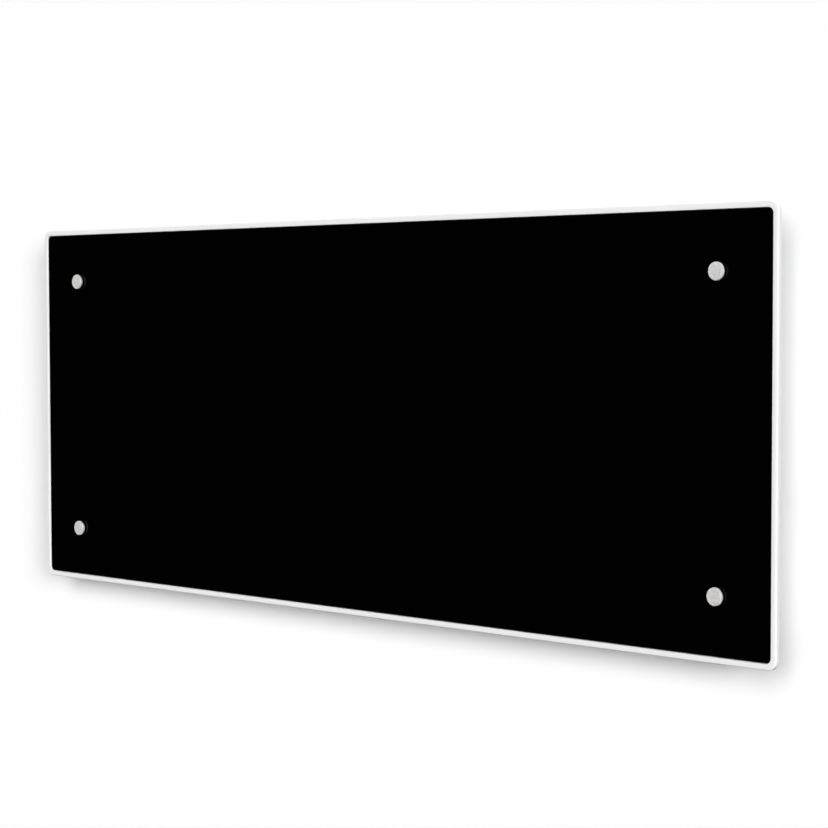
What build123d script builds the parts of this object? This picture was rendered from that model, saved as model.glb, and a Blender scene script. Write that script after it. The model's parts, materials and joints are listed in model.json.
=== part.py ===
from build123d import *
import math
import os

# A wall-hung infrared panel heater: a black glass panel in a white frame, held by four
# metal caps, with the heating pack, the wiring and the controls in a shallow steel cover
# behind it. It hangs by eight hooks on a steel wall bracket.
#
# Millimetres. +Z is up, +X is to the right seen from the room, +Y points into the wall.
# The origin lies on the wall, at the centre of the bracket's four screw holes.
# A "depth" is a distance out from the wall, so the depth d is the plane y = -d.

# ---------------------------------------------------------------- driving dimensions

# Front frame
frame_w = 931.0            # outside width
frame_h = 370.0            # outside height
frame_corner_r = 8.0
rim_w = 5.1                # white rim round the glass
rim_edge_r = 1.2           # rounding of the outer front edge
rim_lip_r = 0.4            # rounding of the inner front edge
rim_side = 4.2             # straight part of the outer side
rim_taper = 5.0            # how far the rear edge is drawn in behind that side
opening_corner_r = 5.0
ledge_w = 9.0              # ledge behind the glass
ledge_t = 3.2
glass_recess = 1.0         # the rim stands this much proud of the glass

# Glass and its seal
glass_t = 4.0
glass_gap = 0.4            # between the glass edge and the frame
glass_arris = 0.5
glass_hole_r = 5.0
seal_t = 0.8
seal_inset = 0.6

# Caps, studs and pillars that clamp the glass
cap_from_side = 52.0       # cap centre to the glass's side edge
cap_from_top = 49.0        # cap centre to the glass's top or bottom edge
cap_r = 7.5
cap_disc_t = 2.0
cap_edge_r = 0.5
cap_neck_r = 6.0
cap_neck_h = 1.0
cap_bore_depth = 2.2
cap_washer_t = 0.5
stud_r = 3.0
stud_tip = 0.6             # chamfer at the stud's ends
thread_gap = 0.05          # between a thread and its bore
bush_gap = 0.1
pillar_r = 6.0
pillar_washer_r = 7.0
pillar_washer_t = 1.0
pillar_bore_depth = 7.5
pillar_screw_r = 2.0
pillar_screw_bite = 3.6
pillar_head_r = 3.8
pillar_head_h = 2.4

# Heating pack, from the glass back towards the wall
film_t = 0.4
element_t = 0.3
reflector_t = 0.8
insulation_t = 12.0
pack_gap = 1.0             # between the pack's edge and the pan's wall
pack_hole_gap = 0.5        # round what passes through the pack
track_w = 14.0             # heating track
track_runs = 12            # an even number, so both ends come out on one side
track_edge = 16.2          # middle of an outer run to the pack's edge
track_margin = 8.0         # between the track's turns and the pillar washers

# Element tags and their ceramic bushes
tag_w = 6.0
tag_t = 0.8
tag_foot = 12.0
tag_reach = 7.0            # how far a tag stands out behind the pan
tag_bush_r = 4.8
tag_bush_bore_r = 3.4
tag_bush_flange_r = 6.5
tag_bush_flange_t = 1.6

# Chassis pan
pan_inset = 35.0           # frame's outside to the pan's outside
pan_t = 0.8
pan_corner_r = 8.0
flange_inset = 6.0         # frame's outside to the flanges' edge

# Rear cover
wiring_space = 16.3        # between the pan's floor and the cover's back wall
cover_inset = 24.0         # frame's outside to the cover's outside
cover_t = 1.0
cover_corner_r = 12.0
cover_edge_r = 2.0
wall_gap = 16.0            # between the cover and the wall
vent_l = 34.0
vent_w = 4.0
vent_pitch = 46.0
louvre_l = 64.0            # straight part of a louvre
louvre_h = 9.0             # slope from its lip to its root
louvre_out = 3.6           # how far its lip stands out
louvre_pitch_x = 92.0
louvre_pitch_z = 20.0

# Cover screws
cover_screw_inset = 9.5    # frame's outside to the screws' line
cover_screw_r = 1.25
cover_screw_gap = 0.05
cover_screw_bite = 2.4
cover_head_r = 2.8
cover_head_h = 1.8

# Wall bracket
bracket_t = 1.5
bracket_hole_x = 400.0     # wall screws, centre to centre
bracket_hole_z = 200.0
wall_hole_r = 3.25
channel_w = 36.0
channel_h = 250.0
channel_depth = 12.0
rail_h = 24.0
rail_lip = 6.0             # folded lips that stiffen the rails
hook_z = 60.0              # hook seats, above and below the middle
hook_drop = 8.0            # height of the hook's root under its seat
hook_web_h = 12.8          # the same at the channel, where the root is deeper
hook_nose = 9.0            # height of the hook's nose above its seat
hook_nose_t = 2.5
hook_gap = 0.3             # between the heater and the hooks it hangs on
lift = 11.0                # the heater rises this far to come off its hooks

# Hanger plates inside the cover, which rest on the hooks
hanger_t = 1.5
hanger_w = 60.0
hanger_h = 200.0
hanger_corner_r = 4.0
slot_side_gap = 1.0
rivet_r = 2.0
rivet_head_r = 3.5
rivet_head_h = 1.2
rivet_tail_r = 3.0
hanger_rivet_z = 90.0

# Wall bumpers
bumper_from_side = 61.5    # cover's side wall to the bumper's middle
bumper_from_bottom = 23.0
bumper_r = 8.0
bumper_stem_r = 3.0
bumper_barb_r = 4.5
bumper_gap = 0.3

# Thermal cut-outs
cutout_x = (-100.0, -220.0)
cutout_z = 40.0
cutout_cap_r = 8.0
cutout_cap_h = 4.0
cutout_body_r = 7.0
cutout_body_h = 6.0
cutout_tab_l = 7.0
cutout_tab_w = 5.0
cutout_tab_t = 0.8
strap_l = 32.0
strap_w = 10.0
strap_t = 0.8
strap_rivet_x = 12.0

# Terminal block and earth stud
block_from_side = 81.5     # cover's side wall to the block's middle
block_from_bottom = 39.0
block_w = 36.0
block_h = 22.0
block_t = 13.0
block_pitch = 11.0
block_screw_r = 2.4
block_screw_t = 2.0
block_corner_r = 1.0
block_barrier_gap = 1.0    # grooves between the ways
driver_slot = 0.8          # width and depth of the slots in its screws
earth_from_block = 60.0
earth_stud_r = 2.0
earth_stud_l = 9.0
earth_nut_r = 4.0
earth_nut_t = 3.2
earth_tag_t = 0.8
earth_tag_w = 7.0
earth_tag_l = 14.0         # stud to the end of the tag's barrel

# Cable gland, under the terminal block
gland_bore_r = 4.0
gland_thread_r = 6.0
gland_head_r = 9.0
gland_head_h = 6.0
gland_dome_r = 7.6
gland_dome_h = 7.0
gland_nut_r = 8.2
gland_nut_h = 4.0
gland_inside = 7.0
gland_hole_gap = 0.1

# Rocker switch
switch_rise = 62.0         # above the terminal block
switch_body_h = 19.2
switch_body_w = 12.0
switch_body_l = 18.0
switch_bezel_h = 23.0
switch_bezel_w = 14.0
switch_bezel_t = 2.0
switch_bezel_r = 1.5
switch_bezel_edge = 0.5
switch_wall = 0.7
rocker_gap = 0.25
rocker_tilt = 10.0         # degrees either side of the middle
rocker_r = 8.9             # swing of the rocker's ends
rocker_dip = 2.0           # height of its waist over the pivot
rocker_keel = 3.0          # depth of its lower edge behind the pivot
rocker_keel_h = 6.2        # half the height of that edge
pivot_r = 1.2
pivot_gap = 0.06
blade_l = 7.5
blade_w = 6.0
blade_t = 0.8
blade_pitch = 9.0

# Control unit on top of the cover
pod_from_side = 111.5      # cover's side wall to the unit's middle
pod_w = 120.0
pod_wall = 1.6
pod_corner_r = 2.0
pod_drop = 6.0             # its rim under the frame's top edge
pod_pan_gap = 1.5          # its floor above the pan
fascia_t = 2.0
fascia_skirt_h = 3.0
fascia_skirt_t = 1.2
fit_gap = 0.15             # between the fascia's skirt and the housing
notch_gap = 0.4            # between the housing and the cover's notch
ear_l = 12.0
ear_h = 14.0
ear_t = 2.0
ear_rise = 4.0             # above the middle of the housing
window_l = 28.0
window_w = 10.0
window_t = 1.5
window_corner_r = 1.0
window_ledge = 1.5         # on which the window lies
window_x = -34.0           # from the middle of the control unit
display_margin = 2.0       # window's edge to the display
display_gap = 1.0          # between the display and the fascia
button_x = {"power": 44.0, "plus": 24.0, "minus": 4.0}
button_r = 4.5
button_gap = 0.3
button_proud = 1.2
button_flange_r = 5.6
button_flange_t = 1.0
button_travel = 0.8
button_stem_r = 1.6
tact_w = 6.0
tact_h = 3.4
tact_plunger_r = 1.75
tact_plunger_h = 0.9
board_t = 1.6
board_end_gap = 0.4        # between a board's ends and the housing
board_side_gap = 1.8
board_ledge = 2.0
button_board_drop = 9.0    # button board's top under the housing's rim
control_board_rise = 3.5   # control board's underside over the housing's floor
pod_lead_x = (-40.0, -20.0, 40.0)   # feed, sensor and live leads, from the middle

# Components on the control board: place from its middle, then length, width and height
transformer_x = -40.0
transformer_size = (18.0, 14.0, 9.0)
relay_x = -12.0
relay_size = (19.0, 15.0, 9.5)
capacitor_x = 8.0
capacitor_r = 4.0
capacitor_h = 9.0
wireless_x = 34.0
wireless_size = (24.0, 14.0, 1.0)
screen_x = 32.0
screen_size = (16.0, 12.0, 2.4)
component_edge = 0.8       # softened corners of these

# Room sensor
sensor_from_block = 50.0
sensor_r = 3.0
sensor_collar_r = 5.0
sensor_collar_t = 1.5
sensor_out = 8.0
sensor_in = 6.0
sensor_tip_r = 2.4

# Leads
lead_r = 1.5
sensor_lead_r = 1.0
lead_bend_r = 9.0
lead_gap = 0.1
lead_start = 25.0          # straight start of a lead at a terminal or a floor
lead_slope = 30.0          # length in which a lead moves to another depth
return_rise = 52.0         # return lead above the lowest run of the track
earth_loop = 15.0          # top of the earth lead's loop above the terminal block
earth_bend_r = 6.0
clip_w = 8.0
clip_wall = 1.4
clip_pitch = 140.0         # the least spacing of clips along a run

# ---------------------------------------------------------------- worked-out positions

# Depths, from the wall outwards
cover_back = wall_gap
cover_floor = cover_back + cover_t
pan_back = cover_floor + wiring_space
pan_floor = pan_back + pan_t
insulation_front = pan_floor + insulation_t
reflector_front = insulation_front + reflector_t
rear_film_front = reflector_front + film_t
element_front = rear_film_front + element_t
glass_back = element_front + film_t
glass_front = glass_back + glass_t
frame_front = glass_front + glass_recess
ledge_front = glass_back - seal_t
frame_back = ledge_front - ledge_t
pan_flange_back = frame_back - pan_t
cover_flange_back = pan_flange_back - cover_t
wiring_depth = cover_floor + wiring_space / 2
lead_depth = pan_back - lead_r - lead_gap

# Outlines
opening_w = frame_w - 2 * rim_w
opening_h = frame_h - 2 * rim_w
glass_w = opening_w - 2 * glass_gap
glass_h = opening_h - 2 * glass_gap
pan_w = frame_w - 2 * pan_inset
pan_h = frame_h - 2 * pan_inset
flange_w = frame_w - 2 * flange_inset
flange_h = frame_h - 2 * flange_inset
flange_corner_r = frame_corner_r - flange_inset
pack_w = pan_w - 2 * pan_t - 2 * pack_gap
pack_h = pan_h - 2 * pan_t - 2 * pack_gap
cover_w = frame_w - 2 * cover_inset
cover_h = frame_h - 2 * cover_inset
cover_right = cover_w / 2
cover_top = cover_h / 2
bumper_x = cover_right - bumper_from_side
bumper_z = cover_top - bumper_from_bottom
block_x = cover_right - block_from_side
block_z = -(cover_top - block_from_bottom)
earth_x = block_x - earth_from_block
earth_z = block_z
gland_x = block_x
sensor_x = block_x - sensor_from_block

# Cap centres
cap_x = glass_w / 2 - cap_from_side
cap_z = glass_h / 2 - cap_from_top
cap_spots = {
    "top_left": (-cap_x, cap_z),
    "top_right": (cap_x, cap_z),
    "bottom_left": (-cap_x, -cap_z),
    "bottom_right": (cap_x, -cap_z),
}
cap_seat = glass_front + cap_washer_t
pillar_front = glass_back - pillar_washer_t

# Heating track: its turns end short of the pillar washers
track_pitch = (pack_h - 2 * track_edge) / (track_runs - 1)
track_half_l = cap_x - pillar_washer_r - track_margin - (track_pitch + track_w) / 2
track_half_h = (track_runs - 1) / 2 * track_pitch
tag_x = -(track_half_l - tag_foot / 2)
tag_spots = [(tag_x, track_half_h), (tag_x, -track_half_h)]
tag_end = pan_back - tag_reach

# Screws round the rim of the cover
screw_half_x = frame_w / 2 - cover_screw_inset
screw_half_z = frame_h / 2 - cover_screw_inset
screw_step_x = (screw_half_x - cover_screw_inset) / 2
cover_screw_spots = [(i * screw_step_x, side * screw_half_z) for i in range(-2, 3) for side in (-1, 1)]
cover_screw_spots += [(side * screw_half_x, i * screw_half_z / 2) for i in (-1, 1) for side in (-1, 1)]

# Hooks: two blades at each height on each channel
channel_x = bracket_hole_x / 2
blade_offset = (channel_w - bracket_t) / 2
hook_blade_x = [side * channel_x + edge * blade_offset for side in (-1, 1) for edge in (-1, 1)]
hook_seats = (hook_z, -hook_z)
slot_h = hook_drop + lift + hook_gap * 2
slot_w = bracket_t + 2 * slot_side_gap
hanger_front = cover_floor + hanger_t

# Control unit
pod_x = cover_right - pod_from_side
pod_bottom = pan_h / 2 + pod_pan_gap
pod_top = frame_h / 2 - pod_drop
pod_back = cover_back + cover_edge_r + notch_gap
pod_front = cover_flange_back
pod_d = pod_front - pod_back
pod_depth = (pod_front + pod_back) / 2
ear_x = pod_w / 2 + ear_l / 2
ear_z = (pod_bottom + pod_top) / 2 + ear_rise
board_l = pod_w - 2 * (pod_wall + board_end_gap)
board_w = pod_d - 2 * (pod_wall + board_side_gap)
button_board_top = pod_top - button_board_drop
control_board_low = pod_bottom + pod_wall + control_board_rise
control_board_top = control_board_low + board_t
button_flange_top = pod_top - button_gap
tact_top = button_board_top + tact_h + tact_plunger_h

# Rocker switch
switch_z = block_z + switch_rise
switch_back = cover_right - switch_body_l
blade_tip = switch_back - blade_l

# Leads: the heights of the level runs, where the cut-outs' terminals lie, and their lanes
feed_z = cutout_z
return_z = return_rise - track_half_h
tab_depth = pan_back - cutout_cap_h - cutout_body_h + 1.5 * cutout_tab_t
tab_reach = cutout_body_r + cutout_tab_l + lead_gap
feed_x = pod_x + pod_lead_x[0]
feed_run_start = cutout_x[0] + tab_reach + lead_start + lead_slope
tail_run_start = cutout_x[1] - tab_reach - lead_start - lead_slope
block_top = block_z + block_h / 4 + lead_gap
board_under = control_board_low - lead_gap
pod_entry = pod_bottom - lead_start


# ---------------------------------------------------------------- shape helpers


def wall_plane(depth, x=0.0, z=0.0):
    """The plane at a depth, parallel to the wall and facing the room."""
    return Plane(origin=(x, -depth, z), x_dir=(1, 0, 0), z_dir=(0, -1, 0))


def sheet(width, height, back, front, radius=0.0, x=0.0, z=0.0):
    """A flat piece parallel to the wall, between two depths."""
    outline = RectangleRounded(width, height, radius) if radius > 0 else Rectangle(width, height)
    return extrude(wall_plane(back, x, z) * outline, front - back)


def bar(radius, back, front, x=0.0, z=0.0):
    """A round piece square to the wall, between two depths."""
    return extrude(wall_plane(back, x, z) * Circle(radius), front - back)


def ring(outer_r, inner_r, back, front, x=0.0, z=0.0):
    """A washer or sleeve square to the wall, between two depths."""
    outline = Circle(outer_r) - Circle(inner_r)
    return extrude(wall_plane(back, x, z) * outline, front - back)


def post(radius, low, high, x, depth):
    """A round upright piece between two heights."""
    return extrude(Plane(origin=(x, -depth, low)) * Circle(radius), high - low)


def block(x_low, x_high, back, front, z_low, z_high):
    """A box between two places along each axis; back and front are depths."""
    size = (x_high - x_low, front - back, z_high - z_low)
    middle = ((x_low + x_high) / 2, -(back + front) / 2, (z_low + z_high) / 2)
    return Pos(*middle) * Box(*size)


def group(shapes):
    """Separate solids that share one node."""
    return Compound(children=[solid for shape in shapes for solid in shape.solids()])


def front_edges(shape):
    """The outer edges of the face nearest the room."""
    return shape.faces().sort_by(Axis.Y)[0].outer_wire().edges()


def back_edges(shape):
    """The outer edges of the face nearest the wall."""
    return shape.faces().sort_by(Axis.Y)[-1].outer_wire().edges()


# ---------------------------------------------------------------- front: frame and glass


def make_front_frame():
    """White frame: rounded rim, straight side, tapered back and a ledge behind the glass."""
    side_back = frame_front - rim_side
    rim = sheet(frame_w, frame_h, side_back, frame_front, frame_corner_r)
    rim = fillet(front_edges(rim), rim_edge_r)
    wide = wall_plane(side_back) * RectangleRounded(frame_w, frame_h, frame_corner_r)
    rear_w = frame_w - 2 * rim_taper
    rear_h = frame_h - 2 * rim_taper
    rear_corner_r = frame_corner_r - rim_taper
    narrow = wall_plane(frame_back) * RectangleRounded(rear_w, rear_h, rear_corner_r)
    frame = rim + loft([wide, narrow], ruled=True)
    frame -= sheet(opening_w, opening_h, ledge_front, frame_front, opening_corner_r)
    ledge_opening_w = opening_w - 2 * ledge_w
    ledge_opening_h = opening_h - 2 * ledge_w
    frame -= sheet(ledge_opening_w, ledge_opening_h, frame_back, ledge_front, opening_corner_r)
    lip = frame.faces().sort_by(Axis.Y)[0].inner_wires()[0].edges()
    frame = fillet(lip, rim_lip_r)
    hole_r = cover_screw_r + cover_screw_gap
    for x, z in cover_screw_spots:
        frame -= bar(hole_r, frame_back, frame_back + cover_screw_bite, x, z)
    return frame


def make_glass_panel():
    """Tempered glass with arrised edges and four drilled holes."""
    glass = sheet(glass_w, glass_h, glass_back, glass_front, opening_corner_r - glass_gap)
    glass = chamfer(front_edges(glass) + back_edges(glass), glass_arris)
    for x, z in cap_spots.values():
        glass -= bar(glass_hole_r, glass_back, glass_front, x, z)
    return glass


def make_glass_seal():
    """Flat silicone ring between the ledge and the glass."""
    outer_w = opening_w - 2 * seal_inset
    outer_h = opening_h - 2 * seal_inset
    inner_w = opening_w - 2 * (ledge_w - seal_inset)
    inner_h = opening_h - 2 * (ledge_w - seal_inset)
    seal = sheet(outer_w, outer_h, ledge_front, glass_back, opening_corner_r - seal_inset)
    return seal - sheet(inner_w, inner_h, ledge_front, glass_back, opening_corner_r)


def make_cap(x, z):
    """Turned cap: a thin disc on a narrower neck, with a blind threaded bore."""
    disc_back = cap_seat + cap_neck_h
    cap = bar(cap_r, disc_back, disc_back + cap_disc_t, x, z)
    cap = fillet(front_edges(cap), cap_edge_r)
    cap += bar(cap_neck_r, cap_seat, disc_back, x, z)
    return cap - bar(stud_r + thread_gap, cap_seat, cap_seat + cap_bore_depth, x, z)


def make_cap_studs():
    """Studs from the caps, through the glass, into the pillars."""
    front = cap_seat + cap_bore_depth - thread_gap
    back = pillar_front - pillar_bore_depth + thread_gap
    studs = []
    for x, z in cap_spots.values():
        stud = bar(stud_r, back, front, x, z)
        studs.append(chamfer(front_edges(stud) + back_edges(stud), stud_tip))
    return group(studs)


def make_cap_washers():
    """Soft washers between the caps' necks and the glass."""
    inner_r = stud_r + bush_gap
    return group([ring(cap_neck_r, inner_r, glass_front, cap_seat, x, z) for x, z in cap_spots.values()])


def make_glass_bushes():
    """Sleeves that keep the studs off the edges of the holes in the glass."""
    outer_r = glass_hole_r - bush_gap
    inner_r = stud_r + bush_gap
    return group([ring(outer_r, inner_r, glass_back, glass_front, x, z) for x, z in cap_spots.values()])


def make_pillar_washers():
    """Soft washers between the pillars and the back of the glass."""
    inner_r = stud_r + bush_gap
    spots = cap_spots.values()
    return group([ring(pillar_washer_r, inner_r, pillar_front, glass_back, x, z) for x, z in spots])


def make_glass_pillars():
    """Pillars that stand on the pan and take the studs at one end, a screw at the other."""
    pillars = []
    for x, z in cap_spots.values():
        pillar = bar(pillar_r, pan_floor, pillar_front, x, z)
        pillar -= bar(stud_r + thread_gap, pillar_front - pillar_bore_depth, pillar_front, x, z)
        pillar -= bar(pillar_screw_r + thread_gap, pan_floor, pan_floor + pillar_screw_bite, x, z)
        pillars.append(pillar)
    return group(pillars)


def make_pillar_screws():
    """Screws that hold the pillars to the pan."""
    screws = []
    for x, z in cap_spots.values():
        head = bar(pillar_head_r, pan_back - pillar_head_h, pan_back, x, z)
        head = chamfer(back_edges(head), pillar_head_h / 3)
        shank_end = pan_floor + pillar_screw_bite - thread_gap
        screws.append(head + bar(pillar_screw_r, pan_back, shank_end, x, z))
    return group(screws)


# ---------------------------------------------------------------- heating pack


def pack_layer(back, front, post_r, tag_r):
    """One layer of the pack, with holes round the pillars and the tags."""
    layer = sheet(pack_w, pack_h, back, front, pan_corner_r)
    for x, z in cap_spots.values():
        layer -= bar(post_r + pack_hole_gap, back, front, x, z)
    for x, z in tag_spots:
        if tag_r > 0:
            layer -= bar(tag_r + pack_hole_gap, back, front, x, z)
    return layer


def make_front_film():
    """Insulating film between the glass and the heating track."""
    return pack_layer(element_front, glass_back, pillar_washer_r, 0.0)


def make_heating_element():
    """One flat resistance track that runs to and fro across the panel."""
    track = Sketch()
    for run in range(track_runs):
        z = track_half_h - run * track_pitch
        track += Pos(0, z) * Rectangle(2 * track_half_l, track_w)
    outer_r = (track_pitch + track_w) / 2
    inner_r = (track_pitch - track_w) / 2
    turn = Circle(outer_r) - Circle(inner_r)
    right_half = turn & Pos(outer_r / 2, 0) * Rectangle(outer_r, 2 * outer_r)
    for run in range(track_runs - 1):
        z = track_half_h - (run + 0.5) * track_pitch
        at_right = run % 2 == 0
        half = right_half if at_right else Rot(0, 0, 180) * right_half
        track += Pos(track_half_l if at_right else -track_half_l, z) * half
    return extrude(wall_plane(rear_film_front) * track, element_t)


def make_rear_film():
    """Insulating film behind the track, cut away where the tags' feet lie."""
    film = pack_layer(reflector_front, rear_film_front, pillar_washer_r, 0.0)
    window = tag_foot + 2 * pack_hole_gap
    for x, z in tag_spots:
        film -= sheet(window, window, reflector_front, rear_film_front, 0.0, x, z)
    return film


def make_heat_reflector():
    """Bright aluminium sheet that turns the heat towards the glass."""
    return pack_layer(insulation_front, reflector_front, pillar_washer_r, tag_bush_r)


def make_insulation_blanket():
    """Mineral wool between the reflector and the pan."""
    return pack_layer(pan_floor, insulation_front, pillar_r, tag_bush_r)


def make_element_tags():
    """Tags from the two ends of the track back through the pack to the wiring space."""
    tags = []
    for x, z in tag_spots:
        foot = sheet(tag_foot, tag_foot, reflector_front, rear_film_front, 0.0, x, z)
        tags.append(foot + sheet(tag_w, tag_t, tag_end, rear_film_front, 0.0, x, z))
    return group(tags)


def make_tag_bushes():
    """Flanged ceramic bushes that carry the tags through the pan and the wool."""
    bushes = []
    flange_back = pan_back - tag_bush_flange_t
    for x, z in tag_spots:
        sleeve = bar(tag_bush_r, pan_back, insulation_front, x, z)
        flange = bar(tag_bush_flange_r, flange_back, pan_back, x, z)
        bore = bar(tag_bush_bore_r, flange_back, insulation_front, x, z)
        bushes.append(sleeve + flange - bore)
    return group(bushes)


# ---------------------------------------------------------------- pan and cover


def make_chassis_pan():
    """Galvanised pan that carries the pack in front and the wiring behind."""
    pan = sheet(pan_w, pan_h, pan_back, frame_back, pan_corner_r)
    pan += sheet(flange_w, flange_h, pan_flange_back, frame_back, flange_corner_r)
    inner_r = pan_corner_r - pan_t
    pan -= sheet(pan_w - 2 * pan_t, pan_h - 2 * pan_t, pan_floor, frame_back, inner_r)
    for x, z in cap_spots.values():
        pan -= bar(pillar_screw_r + thread_gap, pan_back, pan_floor, x, z)
    for x, z in tag_spots:
        pan -= bar(tag_bush_r + bush_gap, pan_back, pan_floor, x, z)
    for x in cutout_x:
        for side in (-1, 1):
            pan -= bar(rivet_r / 2 + thread_gap, pan_back, pan_floor, x + side * strap_rivet_x, cutout_z)
    pan -= bar(earth_stud_r + thread_gap, pan_back, pan_floor, earth_x, earth_z)
    for x, z in cover_screw_spots + pod_screw_spots():
        pan -= bar(cover_screw_r + cover_screw_gap, pan_flange_back, frame_back, x, z)
    return pan


def louvre_mound(height, out):
    """Half of a long rounded mound on the cover's back, with its flat side below."""
    profile = Pos(-cover_back, 0) * Ellipse(out, height)
    keep = Pos(-cover_back + out / 2, height / 2) * Rectangle(out, height)
    quarter = Plane.YZ * (profile & keep)
    middle = extrude(quarter, louvre_l / 2, both=True)
    pivot = Axis((0, -cover_back, 0), (0, 1, 0))
    right = Pos(louvre_l / 2, 0, 0) * revolve(quarter, pivot, 90)
    left = Pos(-louvre_l / 2, 0, 0) * revolve(quarter, pivot, -90)
    return middle + right + left


def louvre_pair():
    """A louvre's outer form, and what is hollow under it and through the sheet."""
    outer = louvre_mound(louvre_h, louvre_out)
    inner = louvre_mound(louvre_h - cover_t, louvre_out - cover_t)
    reach = louvre_h - cover_t
    mouth = SlotOverall(louvre_l + 2 * reach, 2 * reach) & Pos(0, reach / 2) * Rectangle(
        louvre_l + 2 * reach, reach
    )
    return outer, inner + extrude(wall_plane(cover_back) * mouth, cover_t)


def louvre_spots():
    """Louvres in four rows, in banks between and beside the hanger plates."""
    columns = (louvre_pitch_x / 2, channel_x + louvre_pitch_x, channel_x + 2 * louvre_pitch_x)
    rows = (-1.5, -0.5, 0.5, 1.5)
    return [(side * x, row * louvre_pitch_z) for side in (-1, 1) for x in columns for row in rows]


def make_rear_cover():
    """White steel cover: tray with a flange, louvres, vents, hook slots and cut-outs."""
    cover = sheet(cover_w, cover_h, cover_back, pan_flange_back, cover_corner_r)
    cover = fillet(back_edges(cover), cover_edge_r)
    cover += sheet(flange_w, flange_h, cover_flange_back, pan_flange_back, flange_corner_r)
    inner_w = cover_w - 2 * cover_t
    inner_h = cover_h - 2 * cover_t
    hollow = sheet(inner_w, inner_h, cover_floor, pan_flange_back, cover_corner_r - cover_t)
    hollow = fillet(back_edges(hollow), cover_edge_r - cover_t)
    cover -= hollow
    for x in hook_blade_x:
        for seat in hook_seats:
            z = seat + hook_gap - slot_h / 2 + slot_side_gap / 2
            cover -= sheet(slot_w, slot_h + slot_side_gap, cover_back, cover_floor, slot_w / 3, x, z)
    for side in (-1, 1):
        for x, z in hanger_rivet_spots(side):
            cover -= bar(rivet_r + thread_gap, cover_back, cover_floor, x, z)
        cover -= bar(bumper_stem_r + thread_gap, cover_back, cover_floor, side * bumper_x, -bumper_z)
    for x, z in cover_screw_spots + pod_screw_spots():
        cover -= bar(cover_screw_r + cover_screw_gap, cover_flange_back, pan_flange_back, x, z)
    hood, throat = louvre_pair()
    spots = louvre_spots()
    cover += [Pos(x, 0, z) * hood for x, z in spots]
    cover -= [Pos(x, 0, z) * throat for x, z in spots]
    cover -= vent_cutter()
    half = pod_w / 2 + notch_gap
    low = cover_top - cover_edge_r - notch_gap
    cover -= block(pod_x - half, pod_x + half, pod_back - notch_gap, cover_flange_back, low, cover_top)
    cover -= post(gland_thread_r + gland_hole_gap, -cover_top, -cover_top + cover_t, gland_x, wiring_depth)
    cover -= post(sensor_r + gland_hole_gap, -cover_top, -cover_top + cover_t, sensor_x, wiring_depth)
    half_h = switch_body_h / 2 + gland_hole_gap
    half_w = switch_body_w / 2 + gland_hole_gap
    cover -= block(
        cover_right - cover_t,
        cover_right,
        wiring_depth - half_w,
        wiring_depth + half_w,
        switch_z - half_h,
        switch_z + half_h,
    )
    return cover


def vent_cutter():
    """What the rows of vent slots take out of the top and bottom walls."""
    slots = []
    middle = (cover_flange_back + cover_back) / 2
    half_row = int((cover_w / 2 - cover_corner_r) / vent_pitch - 0.5)
    for side in (-1, 1):
        for i in range(-half_row, half_row + 1):
            x = i * vent_pitch
            near_pod = side > 0 and abs(x - pod_x) < pod_w / 2 + vent_l
            near_inlets = side < 0 and x > sensor_x - vent_l
            if near_pod or near_inlets:
                continue
            outline = Plane((x, -middle, side * (cover_top - cover_t / 2))) * SlotOverall(vent_l, vent_w)
            slots.append(extrude(outline, cover_t, both=True))
    return slots


def hanger_rivet_spots(side):
    """Rivets of one hanger plate: two above its slots and two below."""
    spots = []
    for edge in (-1, 1):
        for end in (-1, 1):
            spots.append((side * channel_x + edge * blade_offset, end * hanger_rivet_z))
    return spots


def make_hanger_plate(side):
    """Thick plate behind the cover's hook slots; the slots' top edges rest on the hooks."""
    x = side * channel_x
    plate = sheet(hanger_w, hanger_h, cover_floor, hanger_front, hanger_corner_r, x)
    for edge in (-1, 1):
        for seat in hook_seats:
            slot_x = x + edge * blade_offset
            z = seat + hook_gap - slot_h / 2
            plate -= sheet(slot_w, slot_h, cover_floor, hanger_front, slot_w / 3, slot_x, z)
    for rivet_x, rivet_z in hanger_rivet_spots(side):
        plate -= bar(rivet_r + thread_gap, cover_floor, hanger_front, rivet_x, rivet_z)
    return plate


def make_rivets():
    """Rivets: those through the cover and the hanger plates, and the cut-out straps' small ones."""
    rivets = strap_rivets()
    for side in (-1, 1):
        for x, z in hanger_rivet_spots(side):
            head = bar(rivet_head_r, cover_back - rivet_head_h, cover_back, x, z)
            head = chamfer(back_edges(head), rivet_head_h / 2)
            shank = bar(rivet_r, cover_back, hanger_front, x, z)
            tail = bar(rivet_tail_r, hanger_front, hanger_front + rivet_head_h, x, z)
            rivets.append(head + shank + tail)
    return group(rivets)


def make_cover_screws():
    """Screws through the cover's and the pan's flanges into the frame."""
    screws = []
    for x, z in cover_screw_spots:
        head = bar(cover_head_r, cover_flange_back - cover_head_h, cover_flange_back, x, z)
        head = chamfer(back_edges(head), cover_head_h / 3)
        end = frame_back + cover_screw_bite - cover_screw_gap
        screws.append(head + bar(cover_screw_r, cover_flange_back, end, x, z))
    return group(screws)


def make_wall_bumpers():
    """Rubber bumpers that keep the lower edge of the heater off the wall."""
    bumpers = []
    for side in (-1, 1):
        x = side * bumper_x
        foot = bar(bumper_r, bumper_gap, cover_back, x, -bumper_z)
        foot = fillet(back_edges(foot), bumper_stem_r / 2)
        stem = bar(bumper_stem_r, cover_back, cover_floor, x, -bumper_z)
        barb = bar(bumper_barb_r, cover_floor, cover_floor + bumper_stem_r, x, -bumper_z)
        barb = chamfer(front_edges(barb), bumper_stem_r / 2)
        bumpers.append(foot + stem + barb)
    return group(bumpers)


# ---------------------------------------------------------------- wall bracket


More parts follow.
